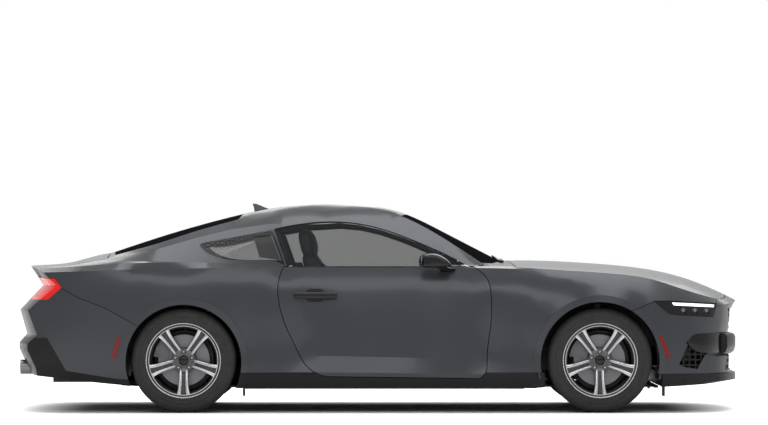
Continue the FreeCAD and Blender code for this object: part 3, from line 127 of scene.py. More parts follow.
def add_grain(made, scale, strength):
    """Fine grain on a material."""
    tree = made.node_tree
    bump = tree.nodes.new("ShaderNodeBump")
    bump.inputs["Strength"].default_value = strength
    bump.inputs["Distance"].default_value = grain_depth
    tree.links.new(noise_of(tree, scale, grain_detail), bump.inputs["Height"])
    tree.links.new(bump.outputs["Normal"], shader_of(made).inputs["Normal"])


def add_wear(made, scale, low, high, spread=0.06):
    """Uneven roughness between two values, and a slightly uneven colour, over a material."""
    tree = made.node_tree
    noise = noise_of(tree, scale, wear_detail)
    rough = mapped(tree, noise, From_Min=0.3, From_Max=0.7, To_Min=low, To_Max=high)
    tree.links.new(rough, shader_of(made).inputs["Roughness"])
    vary_color(made, shader_of(made).inputs["Base Color"].default_value[:3], noise, spread)


def finish(name, color, metallic, roughness, grain=None, wear=None, **sockets):
    """A material; grain is (scale, strength), and wear is (scale, low, high) and its spread."""
    made = bpy.data.materials.new(name)
    made.use_nodes = True
    shader = shader_of(made)
    shader.inputs["Base Color"].default_value = (*color, 1)
    shader.inputs["Metallic"].default_value = metallic
    shader.inputs["Roughness"].default_value = roughness
    for socket, value in sockets.items():
        shader.inputs[socket.replace("_", " ")].default_value = value
    if grain:
        add_grain(made, *grain)
    if wear:
        add_wear(made, *wear)
    return made


def metallic_paint(name, color, flake_scale=1800, flake_spread=0.14):
    """Dark grey metallic paint with fine flakes under a clear coat."""
    made = finish(
        name, color, 0.42, 0.3, Coat_Weight=0.16, Coat_Roughness=0.1, Coat_IOR=1.4,
        Specular_IOR_Level=0.25, Specular_Tint=(0.09, 0.093, 0.1, 1),
    )
    tree = made.node_tree
    place = tree.nodes.new("ShaderNodeTexCoord")
    flake = tree.nodes.new("ShaderNodeTexVoronoi")
    flake.inputs["Scale"].default_value = flake_scale
    tree.links.new(place.outputs["Object"], flake.inputs["Vector"])
    vary_color(made, color, flake.outputs["Color"], flake_spread)
    return made


paint = metallic_paint("metallic paint", (0.046, 0.049, 0.054))
black_trim = finish(
    "black trim", (0.007, 0.007, 0.008), 0, 0.42, grain=(900, 0.15), wear=(30, 0.36, 0.5),
    Specular_IOR_Level=0.15,
)
gloss_black = finish(
    "gloss black", (0.006, 0.006, 0.007), 0, 0.12, wear=(12, 0.1, 0.18), Specular_IOR_Level=0.22,
)
rubber = finish(
    "tyre rubber", (0.014, 0.0135, 0.013), 0, 0.62, grain=(400, 0.2),
    wear=(24, 0.55, 0.75, 0.15), Specular_IOR_Level=0.3,
)
print_black = finish(
    "printed black", (0.006, 0.006, 0.006), 0, 0.6, wear=(40, 0.55, 0.65),
    Specular_IOR_Level=0.03,
)
seal = finish("rubber seal", (0.008, 0.008, 0.009), 0, 0.5, wear=(40, 0.42, 0.6))
alloy = finish(
    "alloy", (0.36, 0.365, 0.37), 0.95, 0.25, wear=(18, 0.22, 0.32, 0.03), Coat_Weight=0.2,
)
# Alloy darkened: painted shade on the slope inside the rim's lip and in the nut pockets; the hub
# takes it as darker alloy
dark_alloy_and_painted_shade = finish("dark alloy", (0.07, 0.07, 0.073), 0.9, 0.32, wear=(18, 0.28, 0.38, 0.05))
wheel_paint = finish("dark wheel paint", (0.03, 0.03, 0.032), 0.5, 0.4, wear=(30, 0.35, 0.5))
iron = finish(
    "cast iron", (0.1, 0.1, 0.105), 0.7, 0.55, grain=(300, 0.3), wear=(25, 0.5, 0.7, 0.2),
)
brake_steel = finish("brake steel", (0.12, 0.12, 0.125), 0.9, 0.4, grain=(60, 0.1))
nut_steel = finish("nut steel", (0.3, 0.3, 0.31), 1.0, 0.25, wear=(40, 0.2, 0.3, 0.05))
steel = finish("exhaust steel", (0.16, 0.155, 0.15), 1.0, 0.32, wear=(20, 0.25, 0.42, 0.1))
underbody = finish(
    "underbody", (0.025, 0.025, 0.027), 0, 0.7, grain=(200, 0.3), wear=(12, 0.6, 0.8, 0.2),
)
cabin_trim = finish(
    "cabin trim", (0.018, 0.018, 0.02), 0, 0.6, grain=(700, 0.3), wear=(20, 0.52, 0.68),
)
leather = finish(
    "leather", (0.028, 0.028, 0.03), 0, 0.48, grain=(420, 0.4), wear=(16, 0.4, 0.55, 0.12),
)
glass = finish(
    "tinted glass", (0.02, 0.022, 0.024), 0, 0.04, wear=(2, 0.03, 0.05),
    Alpha=0.36, Specular_IOR_Level=0.25,
)
# Windscreen and rear window: near-opaque black with no specular, so the dark reflection they show
# is painted into their colour
glass_with_painted_dark_reflection = finish(
    "dark glass", (0.006, 0.006, 0.007), 0, 0.06, wear=(2, 0.05, 0.08),
    Alpha=0.9, Specular_IOR_Level=0.0,
)
mirror_glass = finish("mirror glass", (0.7, 0.72, 0.74), 1.0, 0.03, wear=(5, 0.02, 0.04, 0.01))
screen = finish(
    "screen glass", (0.004, 0.004, 0.005), 0, 0.06, wear=(6, 0.05, 0.09), Coat_Weight=1.0,
)
red_lens = finish(
    "red lens", (0.2, 0.004, 0.004), 0, 0.15, wear=(30, 0.12, 0.22, 0.2),
    Specular_IOR_Level=0.2,
)
lamp_red = finish(
    "lit red lens", (0.6, 0.01, 0.008), 0, 0.2, wear=(30, 0.15, 0.28, 0.2),
    Specular_IOR_Level=0.2, Emission_Color=(1, 0.02, 0.015, 1), Emission_Strength=0.22,
)
lamp_chrome = finish("lamp chrome", (0.12, 0.12, 0.125), 0.9, 0.3, wear=(20, 0.25, 0.4, 0.05))
light_bar = finish(
    "lit bar", (0.9, 0.92, 0.95), 0, 0.3, grain=(300, 0.05),
    Emission_Color=(0.95, 0.97, 1, 1), Emission_Strength=1.6,
)

SLOT_FINISHES = {
    "paint": paint,
    "glass": glass,
    "black_plastic": black_trim,
    "tyre": rubber,
    "alloy": alloy,
    "iron": iron,
    "steel": steel,
    "lamp_clear": gloss_black,
    "lamp_red": red_lens,
    "underbody": underbody,
    "interior": cabin_trim,
    "leather": leather,
}
NODE_FINISHES = {
    "taillamps": lamp_red,
    "windshield": glass_with_painted_dark_reflection,
    "rear_window": glass_with_painted_dark_reflection,
    "mirror_left": gloss_black,
    "mirror_right": gloss_black,
    "wheel_liners": seal,
}
cabin_side_y = 0.8
underside_slope = -0.05
exhaust_tips_x = -2.2


def on_cabin_side(face):
    """Whether a face of a door is on the side of the cabin."""
    return abs(face.center.y) < cabin_side_y


def on_underside(face):
    """Whether a face looks down."""
    return face.normal.z < underside_slope


def ahead_of_tips(face):
    """Whether a face of the exhaust is ahead of its tips."""
    return face.center.x > exhaust_tips_x


# Second finish of a node, and the faces that take it
SECOND_FINISHES = {
    "door_left": (cabin_trim, on_cabin_side),
    "door_right": (cabin_trim, on_cabin_side),
    "roof_panel": (cabin_trim, on_underside),
    "hood": (cabin_trim, on_underside),
    "trunk_lid": (cabin_trim, on_underside),
    "exhaust": (underbody, ahead_of_tips),
}


def smooth_group(passes, sharp_angle=math.radians(30), seam_width=0.00008):
    """A modifier that joins a mesh's seams and evens out its shading in each smooth region."""
    group = bpy.data.node_groups.new("smooth form", "GeometryNodeTree")
    for way in ("INPUT", "OUTPUT"):
        group.interface.new_socket("Geometry", in_out=way, socket_type="NodeSocketGeometry")

    def made(kind, **values):
        node = group.nodes.new(kind)
        for key, value in values.items():
            node.inputs[key].default_value = value
        return node

    start, end = made("NodeGroupInput"), made("NodeGroupOutput")
    split = made("GeometryNodeSplitEdges")
    normals = made("GeometryNodeSetMeshNormal")
    normals.mode = "FREE"
    normals.domain = "POINT"
    chain = (
        made("GeometryNodeRemoveAttribute", Name="custom_normal"),
        made("GeometryNodeMergeByDistance", Distance=seam_width),
        made("GeometryNodeSetShadeSmooth"),
        split,
        normals,
    )
    turn = made("GeometryNodeInputMeshEdgeAngle")
    sharp = made("FunctionNodeCompare", B=sharp_angle)
    sharp.operation = "GREATER_THAN"
    blur = made("GeometryNodeBlurAttribute", Iterations=passes)
    blur.data_type = "FLOAT_VECTOR"
    links = group.links
    last = start.outputs["Geometry"]
    for node in chain:
        links.new(last, node.inputs[0])
        last = node.outputs[0]
    links.new(last, end.inputs["Geometry"])
    links.new(turn.outputs["Unsigned Angle"], sharp.inputs["A"])
    links.new(sharp.outputs["Result"], split.inputs["Selection"])
    links.new(made("GeometryNodeInputNormal").outputs["Normal"], blur.inputs["Value"])
    links.new(blur.outputs["Value"], normals.inputs["Custom Normal"])
    return group


panel_shading = smooth_group(passes=10)
glass_shading = smooth_group(passes=0)
slots = {part["node"]: part["material_slot"] for part in frame["record"]["subparts"]}
for name, node in nodes.items():
    node.data.materials.clear()
    node.data.materials.append(NODE_FINISHES.get(name, SLOT_FINISHES[slots[name]]))
    if name in SECOND_FINISHES:
        material, takes_it = SECOND_FINISHES[name]
        node.data.materials.append(material)
        for polygon in node.data.polygons:
            if takes_it(polygon):
                polygon.material_index = 1
    joined = node.modifiers.new("smooth", "NODES")
    joined.node_group = glass_shading if slots[name] == "glass" else panel_shading

# Making of pieces
weld_distance = 1e-6
ray_start = 1.4
print_thickness = 0.0015
patch_thickness_share = 1.2


def placed(name, mesh, body):
    """An object for a mesh, riding on a body."""
    made = bpy.data.objects.new(name, mesh)
    bpy.context.scene.collection.objects.link(made)
    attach(made, body)
    return made


def assembled(name, parts, body, smooth_below=32):
    """One piece from (points, faces, material) parts, smooth below an edge angle in degrees."""
    points, faces, marks, materials = [], [], [], []
    for part_points, part_faces, material in parts:
        if material not in materials:
            materials.append(material)
        faces += [tuple(len(points) + i for i in face) for face in part_faces]
        marks += [materials.index(material)] * len(part_faces)
        points += part_points
    mesh = bpy.data.meshes.new(name)
    mesh.from_pydata([tuple(v) for v in points], [], faces)
    for material in materials:
        mesh.materials.append(material)
    mesh.polygons.foreach_set("material_index", marks)
    form = bmesh.new()
    form.from_mesh(mesh)
    bmesh.ops.remove_doubles(form, verts=form.verts, dist=weld_distance)
    bmesh.ops.recalc_face_normals(form, faces=form.faces)
    limit = math.radians(smooth_below)
    for face in form.faces:
        face.smooth = True
    for edge in form.edges:
        edge.smooth = len(edge.link_faces) == 2 and edge.calc_face_angle(0) < limit
    form.to_mesh(mesh)
    form.free()
    return placed(name, mesh, body)


def piece(name, points, faces, material, body, smooth_below=40):
    """A piece of one material."""
    return assembled(name, [(points, faces, material)], body, smooth_below)


def angles(count):
    """Angles spaced evenly round a full turn."""
    return [2 * math.pi * i / count for i in range(count)]


def grid_faces(rows, columns, closed_rows=False, closed_columns=False):
    """Quads over a grid of points, stored row by row."""
    faces = []
    for i in range(rows if closed_rows else rows - 1):
        for j in range(columns if closed_columns else columns - 1):
            a, b = i * columns + j, i * columns + (j + 1) % columns
            c, d = (i + 1) % rows * columns + (j + 1) % columns, (i + 1) % rows * columns + j
            faces.append((a, b, c, d))
    return faces


def turned(profile, count, centre, side):
    """Points and faces of a closed profile of (radius, place outwards) turned about an axle."""
    points = [
        Vector((radius * math.cos(a), side * out, radius * math.sin(a))) + centre
        for a in angles(count) for radius, out in profile
    ]
    return points, grid_faces(count, len(profile), True, True)


def loft(name, rings, material, body, smooth_below=50):
    """A skin over rings of points, closed at both ends."""
    points = [point for ring in rings for point in ring]
    count = len(rings[0])
    faces = grid_faces(len(rings), count, False, True)
    faces.append(tuple(range(count)))
    faces.append(tuple(range((len(rings) - 1) * count, len(rings) * count))[::-1])
    return piece(name, points, faces, material, body, smooth_below)


def block(name, low, high, material, body, bevel=0.004):
    """A box with rounded edges between two corners."""
    corners = [
        Vector((x, y, z))
        for x in (low[0], high[0]) for y in (low[1], high[1]) for z in (low[2], high[2])
    ]
    faces = [(0, 1, 3, 2), (4, 6, 7, 5), (0, 4, 5, 1), (2, 3, 7, 6), (0, 2, 6, 4), (1, 5, 7, 3)]
    made = piece(name, corners, faces, material, body, smooth_below=30)
    rounded = made.modifiers.new("rounded", "BEVEL")
    rounded.width = bevel
    rounded.segments = 3
    rounded.limit_method = "ANGLE"


def add_subdivision(made, levels):
    """A rounder form for a piece."""
    fine = made.modifiers.new("fine", "SUBSURF")
    fine.levels = fine.render_levels = levels


def tree_of(*names):
    """A search tree over the shapes of some nodes."""
    points, faces = [], []
    for name in names:
        mesh = nodes[name].data
        base = len(points)
        points += [v.co.copy() for v in mesh.vertices]
        faces += [tuple(base + i for i in polygon.vertices) for polygon in mesh.polygons]
    return BVHTree.FromPolygons(points, faces)


SKINS = {}


def skin_point(x, z, side, name, lift=0):
    """The point of a node's skin seen from a side, lifted off it, or behind it if negative."""
    if name not in SKINS:
        SKINS[name] = tree_of(name)
    start = Vector((x, side * ray_start, z))
    found, normal, _, _ = SKINS[name].ray_cast(start, Vector((0, -side, 0)))
    if found is None:
        return None
    if lift < 0:
        return found + Vector((0, side * lift, 0))
    if normal.y * side < 0:
        normal = -normal
    return found + normal * lift


def lerp(a, b, t):
    """The value at a share of the way between two."""
    return a + (b - a) * t


def place_along(line, t):
    """The place at a share of the way along a line of places."""
    spot = t * (len(line) - 1)
    i = min(int(spot), len(line) - 2)
    return tuple(lerp(a, b, spot - i) for a, b in zip(line[i], line[i + 1]))


def draped(name, upper, lower, material, body, node, side, lift, along, across):
    """A thin patch laid on a node's skin between two lines of places."""
    points = []
    for i in range(along + 1):
        (x0, z0), (x1, z1) = place_along(upper, i / along), place_along(lower, i / along)
        for j in range(across + 1):
            t = j / across
            found = skin_point(lerp(x0, x1, t), lerp(z0, z1, t), side, node, lift)
            if found is None:
                return
            points.append(found)
    made = piece(name, points, grid_faces(along + 1, across + 1), material, body)
    thick = made.modifiers.new("thick", "SOLIDIFY")
    thick.thickness = print_thickness if lift < 0 else lift * patch_thickness_share
    thick.offset = 0


def steps(*places):
    """Places in metres from places in grid steps."""
    return [(x * step_x, z * step_z) for x, z in places]


# Half of a tyre's section as (radius, distance from the wheel's middle): bead, rings on the
# side wall, shoulder, and ribs of the tread
TYRE_HALF = (
    (0.2295, 0.1165), (0.2340, 0.1172), (0.2375, 0.1135), (0.2480, 0.1165), (0.2640, 0.1174),
    (0.2665, 0.1160), (0.2690, 0.1174), (0.2860, 0.1174), (0.2885, 0.1150), (0.2910, 0.1164),
    (0.3080, 0.1120), (0.3200, 0.1060), (0.3300, 0.0985), (0.3365, 0.0905), (0.3385, 0.0850),
    (0.3400, 0.0690), (0.3402, 0.0660), (0.3330, 0.0645), (0.3330, 0.0560), (0.3405, 0.0545),
    (0.3412, 0.0260), (0.3340, 0.0245), (0.3340, 0.0150), (0.3415, 0.0135), (0.3418, 0.0),
)
SHOULDER = range(11, 15)
tyre_turns = 180
turns_per_notch = 5
notch_depth = 0.003


def add_tyre(end, x, y):
    """A tyre with ribs and notched shoulders that stands for the plain one of the model."""
    profile = list(TYRE_HALF) + [(r, -w) for r, w in reversed(TYRE_HALF[:-1])]
    total = len(profile)
    points = []
    for i, a in enumerate(angles(tyre_turns)):
        notch = notch_depth if i % turns_per_notch == 0 else 0.0
        for j, (radius, across) in enumerate(profile):
            r = radius - (notch if min(j, total - 1 - j) in SHOULDER else 0.0)
            points.append(Vector((x + r * math.cos(a), y + across, axle_height + r * math.sin(a))))
    faces = grid_faces(tyre_turns, total, True, True)
    made = piece("tyre_tread_" + end, points, faces, rubber, "wheel_" + end,
                 smooth_below=60)
    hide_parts("tyre_" + end)


# Turned parts of a wheel as (radius, place outwards from the wheel's middle)
LIP = (
    (0.2385, 0.1205), (0.24, 0.1222), (0.2445, 0.1222), (0.2455, 0.1195), (0.2455, 0.1),
    (0.2385, 0.1),
)
# The slope inside the lip takes the darkened alloy as painted shade
SLOPE = ((0.2285, 0.113), (0.2385, 0.1195), (0.2385, 0.1), (0.2285, 0.1))
STEP = (
    (0.2225, 0.113), (0.2235, 0.1148), (0.2275, 0.1148), (0.2285, 0.113), (0.2285, 0.1),
    (0.2225, 0.1),
)
BARREL = (
    (0.2185, 0.1), (0.212, 0.07), (0.207, 0.0), (0.21, -0.09), (0.2285, -0.105),
    (0.2285, -0.0985), (0.2165, -0.085), (0.2135, 0.0), (0.2185, 0.07), (0.226, 0.1),
)
HUB = (
    (0.0, 0.03), (0.0, 0.06), (0.031, 0.06), (0.0335, 0.0665), (0.05, 0.0665), (0.068, 0.0725),
    (0.076, 0.07), (0.08, 0.06), (0.08, 0.03),
)
CAP = (
    (0.0, 0.061), (0.0, 0.0735), (0.014, 0.073), (0.024, 0.0708), (0.0305, 0.066),
    (0.0305, 0.061),
)
DISC = (
    (0.07, -0.012), (0.07, 0.014), (0.088, 0.0165), (0.168, 0.0165), (0.17, 0.0145),
    (0.17, 0.006), (0.164, 0.005), (0.164, -0.002), (0.17, -0.003), (0.17, -0.012),
)
HAT = (
    (0.0, -0.012), (0.0, 0.0285), (0.066, 0.0285), (0.072, 0.024), (0.0725, 0.012),
    (0.07, -0.012),
)
SHIELD = (
    (0.075, -0.026), (0.19, -0.034), (0.196, -0.03), (0.196, -0.026), (0.19, -0.03),
    (0.075, -0.022),
)
# The nut pockets take the darkened alloy as painted shade in the recesses
NUT_POCKET = (
    (0.0135, 0.058), (0.0135, 0.0745), (0.0165, 0.0765), (0.0195, 0.0755), (0.0205, 0.068),
    (0.0205, 0.058),
)
NUT = ((0.0, 0.058), (0.0, 0.0785), (0.006, 0.0778), (0.0105, 0.074), (0.011, 0.058))
VALVE = ((0.0, 0.0), (0.0, 0.03), (0.003, 0.03), (0.0035, 0.0))
RIM_PARTS = (
    (LIP, alloy), (SLOPE, dark_alloy_and_painted_shade), (STEP, alloy), (BARREL, wheel_paint), (HUB, dark_alloy_and_painted_shade),
    (CAP, gloss_black), (DISC, brake_steel), (HAT, wheel_paint),
)
# Across a spoke: share of its half width, and depth below its front
SPOKE = (
    (-1.0, 0.034), (-1.0, 0.013), (-0.93, 0.003), (-0.8, 0.0), (-0.66, 0.0), (-0.55, 0.0035),
    (-0.42, 0.0045), (-0.36, 0.0095), (-0.2, 0.013), (0.2, 0.013), (0.36, 0.0095),
    (0.42, 0.0045), (0.55, 0.0035), (0.66, 0.0), (0.8, 0.0), (0.93, 0.003), (1.0, 0.013),
    (1.0, 0.034),
)
GROOVE = range(7, 10)
# Along a spoke: radius, half width and place of its front
SPOKE_RUN = (
    (0.05, 0.025, 0.067), (0.075, 0.0295, 0.0765), (0.1, 0.0295, 0.084), (0.13, 0.0305, 0.0915),
    (0.16, 0.033, 0.098), (0.185, 0.0365, 0.103), (0.205, 0.0405, 0.1065),
    (0.2235, 0.047, 0.1085),
)
spoke_count = 5
nut_circle = 0.057
valve_out, valve_radius = 0.085, 0.212
rim_turns, pocket_turns, nut_turns, valve_turns, shield_turns = 90, 28, 6, 10, 60


def spoke(centre, side, angle):
    """A spoke's bright ridges, and its dark groove and back, as two parts."""
    along = Vector((math.cos(angle), 0, math.sin(angle)))
    wide = Vector((-math.sin(angle), 0, math.cos(angle)))
    points = []
    for radius, half, front in SPOKE_RUN:
        for share, depth in SPOKE:
            out = Vector((0, side * (front - depth), 0))
            points.append(centre + along * radius + wide * half * share + out)
    bright, dark = [], []
    count = len(SPOKE)
    for i, quad in enumerate(grid_faces(len(SPOKE_RUN), count, False, True)):
        j = i % count
        (dark if j in GROOVE or j == count - 1 else bright).append(quad)
    return (points, bright, alloy), (points, dark, wheel_paint)


def add_rim(end, x, y):
    """A five-spoke rim with its brake disc, standing for the plain one, and a dust shield."""
    side = 1 if y > 0 else -1
    centre = Vector((x, y, axle_height))
    parts = [
        (*turned(profile, rim_turns, centre, side), material) for profile, material in RIM_PARTS
    ]
    for turn in angles(spoke_count):
        parts += spoke(centre, side, turn - math.pi / 2)
        spot = centre + Vector((nut_circle * math.sin(turn), 0, nut_circle * math.cos(turn)))
        parts.append((*turned(NUT_POCKET, pocket_turns, spot, side), dark_alloy_and_painted_shade))
        parts.append((*turned(NUT, nut_turns, spot, side), nut_steel))
    stem = centre + Vector((0.0, side * valve_out, valve_radius))
    parts.append((*turned(VALVE, valve_turns, stem, side), gloss_black))
    made = assembled("alloy_rim_" + end, parts, "wheel_" + end)
    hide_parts("rim_" + end)
    held = "steer_" + end.split("_")[1] if end.startswith("front") else "body"
    shield = (*turned(SHIELD, shield_turns, centre, side), underbody)
    assembled("dust_shield_" + end, [shield], held)


for end, (x, y) in WHEELS.items():
    add_tyre(end, x, y)
    add_rim(end, x, y)

# Side glass: outer and inner edges of the printed bands, the seals and the pillar trim
DOOR_TOP = steps(
    (5.55, 9.75), (4.78, 10.16), (2.81, 11.04), (1.5, 11.56), (0.18, 12.0), (-1.14, 12.3),
    (-2.52, 12.44), (-4.96, 12.31), (-6.62, 12.0),
)
DOOR_TOP_INNER = steps(
    (5.0, 9.75), (4.4, 10.02), (2.6, 10.82), (1.4, 11.3), (0.15, 11.72), (-1.14, 12.02),
    (-2.52, 12.14), (-4.85, 12.0), (-6.3, 11.72),
)
DOOR_REAR = steps((-6.66, 11.95), (-5.86, 9.62))
DOOR_REAR_INNER = steps((-6.2, 11.85), (-5.4, 9.62))
DOOR_REAR_SEAL = steps((-6.5, 11.95), (-5.7, 9.62))
DOOR_FRONT = steps((5.6, 9.68), (4.6, 9.68))
DOOR_FRONT_INNER = steps((4.9, 10.0), (4.5, 9.95))
BELT_TOP = steps((5.75, 9.68), (-5.8, 9.68))
BELT_LOW = steps((5.8, 9.57), (-5.75, 9.57))
QUARTER_TOP = steps((-7.0, 11.9), (-8.0, 11.74), (-9.04, 11.52), (-10.3, 11.32), (-11.48, 11.08))
QUARTER_TOP_INNER = steps(
    (-7.0, 11.6), (-8.1, 11.44), (-9.2, 11.18), (-10.23, 10.93), (-11.2, 10.82),
)
QUARTER_LOW = steps((-6.15, 9.72), (-8.2, 9.92), (-10.1, 10.15), (-10.85, 10.4), (-11.6, 10.98))
QUARTER_LOW_INNER = steps(
    (-6.3, 10.0), (-7.74, 10.29), (-9.78, 10.66), (-10.23, 10.93), (-11.2, 10.95),
)
QUARTER_FRONT = steps((-6.9, 11.6), (-6.25, 9.95))
QUARTER_FRONT_INNER = steps((-8.12, 11.42), (-7.72, 10.2))
QUARTER_FRONT_SEAL = steps((-7.02, 11.6), (-6.37, 9.95))
behind_glass, on_glass, on_belt = -0.004, 0.0015, 0.003
# Name, pane, two lines, finish, slot, lift, and cells along and across
GLASS_PATCHES = (
    ("window_print_top_", "door", DOOR_TOP, DOOR_TOP_INNER, print_black, "black_plastic",
     behind_glass, 60, 3),
    ("window_print_rear_", "door", DOOR_REAR, DOOR_REAR_INNER, print_black, "black_plastic",
     behind_glass, 20, 3),
    ("window_print_front_", "door", DOOR_FRONT, DOOR_FRONT_INNER, print_black, "black_plastic",
     behind_glass, 10, 3),
    ("belt_seal_", "door", BELT_TOP, BELT_LOW, seal, "black_plastic", on_belt, 60, 2),
    ("quarter_print_top_", "quarter", QUARTER_TOP, QUARTER_TOP_INNER, print_black,
     "black_plastic", behind_glass, 40, 3),
    ("quarter_print_low_", "quarter", QUARTER_LOW, QUARTER_LOW_INNER, print_black,
     "black_plastic", behind_glass, 40, 3),
    ("quarter_trim_", "quarter", QUARTER_FRONT, QUARTER_FRONT_INNER, cabin_trim, "interior",
     behind_glass, 14, 10),
    ("pane_seal_", "quarter", QUARTER_FRONT, QUARTER_FRONT_SEAL, seal, "black_plastic",
     on_glass, 20, 1),
    ("pillar_seal_", "door", DOOR_REAR, DOOR_REAR_SEAL, seal, "black_plastic", on_glass, 24, 1),
)
# The cover of the pillar between the panes: its line, and its section as (forward, outward)
COVER_LINE = steps((-6.62, 11.9), (-5.86, 9.64))
COVER_SECTION = ((0.02, 0), (-0.02, -0.002), (-0.06, -0.008))
cover_lift, cover_thickness, cover_cells = -0.016, 0.002, 12
for word, side in SIDES:
    door_pane = "door_glass_" + word
    panes = {"door": ("door_" + word, door_pane), "quarter": ("body", "quarter_windows")}
    for name, pane, upper, lower, material, slot, lift, along, across in GLASS_PATCHES:
        body, node = panes[pane]
        draped(name + word, upper, lower, material, body, node, side, lift, along, across)
    rows = []
    for i in range(cover_cells + 1):
        x, z = place_along(COVER_LINE, i / cover_cells)
        found = skin_point(x, z, side, door_pane, cover_lift)
        if found is not None:
            rows += [found + Vector((ahead, side * out, 0)) for ahead, out in COVER_SECTION]
    faces = grid_faces(len(rows) // len(COVER_SECTION), len(COVER_SECTION))
    cover = piece("pillar_cover_" + word, rows, faces, black_trim, "body")
    cover.modifiers.new("thick", "SOLIDIFY").thickness = cover_thickness

# Soft pieces: shares of a pad's half width where its channels end and its side seams run, the
# seams' width, and how far the pad narrows in the middle of its length
channel_end, seam_place, seam_width, waist = 0.62, 0.66, 0.035, 0.03
channel_fade, channel_steepness = 8, 4
pad_cuts = 21


def cushion(name, centre, half, tilt, channels=0, crown=0.018, roundness=5.0, depth=0.006,
            taper=0.0):
    """A crowned pad with rounded sides and sewn channels across its face."""
    form = bmesh.new()
    bmesh.ops.create_cube(form, size=2)
    bmesh.ops.subdivide_edges(form, edges=form.edges, cuts=pad_cuts, use_grid_fill=True)
    spin = Matrix.Rotation(tilt, 4, "Y")
    for vert in form.verts:
        u, v, w = vert.co
        reach = sum(abs(share) ** roundness for share in (u, v, w)) ** (1 / roundness)
        u, v, w = u / reach, v / reach, w / reach
        narrow = 1 - taper * (1 - u) / 2
        spot = Vector((u * half[0], v * half[1] * narrow, w * half[2]))
        if w > 0:
            spot.z += crown * (1 - u * u) * (1 - v * v) * w
            if channels:
                inside = max(0.0, 1 - (v / channel_end) ** channel_fade)
                wave = abs(math.cos(math.pi * channels * (u + 1) / 2))
                spot.z -= depth * inside * (1 - min(1.0, wave * channel_steepness)) * w
            seam = math.exp(-((abs(v) - seam_place) / seam_width) ** 2)
            spot.z -= depth * seam * w
        spot.y *= 1 - waist * (1 - u * u)
        vert.co = spin @ spot + Vector(centre)
    for face in form.faces:
        face.smooth = True
    mesh = bpy.data.meshes.new(name)
    form.to_mesh(mesh)
    form.free()
    mesh.materials.append(leather)
    made = placed(name, mesh, "body")
    add_subdivision(made, 1)
    return made


def join_into(first, others):
    """One object out of several meshes."""
    form = bmesh.new()
    for item in [first] + others:
        form.from_mesh(item.data)
    form.to_mesh(first.data)
    form.free()
    for polygon in first.data.polygons:
        polygon.use_smooth = True
    for item in others:
        bpy.data.objects.remove(item)
    return first


seat_y = 4.15 * step_y
seat_tilt, bench_tilt = 0.02, 0.03
back_tilt, rest_tilt, bench_back_tilt = math.radians(68), math.radians(76), math.radians(63)
wing_y, back_wing_y, bench_y = 0.172, 0.158, 0.29
for word, side in SIDES:
    y = side * seat_y
    base = cushion("seat_cushion_" + word, (-0.02, y, 0.395), (0.235, 0.145, 0.06), seat_tilt, 5)
    wings = [
        cushion(f"seat_wing_{word}_{i}", (-0.03, y + across, 0.415), (0.225, 0.042, 0.07),
                seat_tilt, crown=0.006)
        for i, across in enumerate((-wing_y, wing_y))
    ]
    join_into(base, wings)
    back = cushion("seat_back_" + word, (-0.35, y, 0.75), (0.31, 0.14, 0.055), back_tilt, 7,
                   crown=0.02, taper=0.12)
    back_wings = [
        cushion(f"back_wing_{word}_{i}", (-0.33, y + across, 0.725), (0.275, 0.042, 0.07),
                back_tilt, crown=0.006, roundness=4.0, depth=0.004, taper=0.1)
        for i, across in enumerate((-back_wing_y, back_wing_y))
    ]
    join_into(back, back_wings)
    rest = cushion("headrest_" + word, (-0.47, y, 1.105), (0.095, 0.125, 0.045), rest_tilt,
                   crown=0.012, roundness=3.2)
bench_base = []
bench_back = []
for i, across in enumerate((-bench_y, bench_y)):
    bench_base.append(cushion(f"bench_cushion_{i}", (-0.71, across, 0.44), (0.1, 0.25, 0.06),
                              bench_tilt, 3, crown=0.014))
    bench_back.append(cushion(f"bench_back_{i}", (-0.93, across, 0.66), (0.24, 0.25, 0.05),
                              bench_back_tilt, 4, crown=0.014, depth=0.005, taper=0.08))
bench = join_into(bench_base[0], bench_base[1:])
bench_rear = join_into(bench_back[0], bench_back[1:])
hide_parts("seats")

# Seat shells and bases under the pads; a shell's rings are x, z, half width and half thickness
SHELL_RINGS = (
    (-0.29, 0.36, 0.19, 0.03), (-0.355, 0.5, 0.2, 0.04), (-0.43, 0.68, 0.19, 0.04),
    (-0.505, 0.86, 0.165, 0.035), (-0.545, 0.98, 0.12, 0.025),
)
base_half_width = 0.19


def squared(share, power):
    """A cosine or sine brought nearer to that of a rectangle."""
    return math.copysign(abs(share) ** power, share)


for word, side in SIDES:
    y = side * seat_y
    rings = [
        [
            Vector((x + thick * math.cos(a), y + width * squared(math.sin(a), 0.6), z))
            for a in angles(20)
        ]
        for x, z, width, thick in SHELL_RINGS
    ]
    loft("seat_shell_" + word, rings, cabin_trim, "body")
    block("seat_base_" + word, (-0.25, y - base_half_width, 0.19),
          (0.17, y + base_half_width, 0.345), cabin_trim, "body", bevel=0.012)

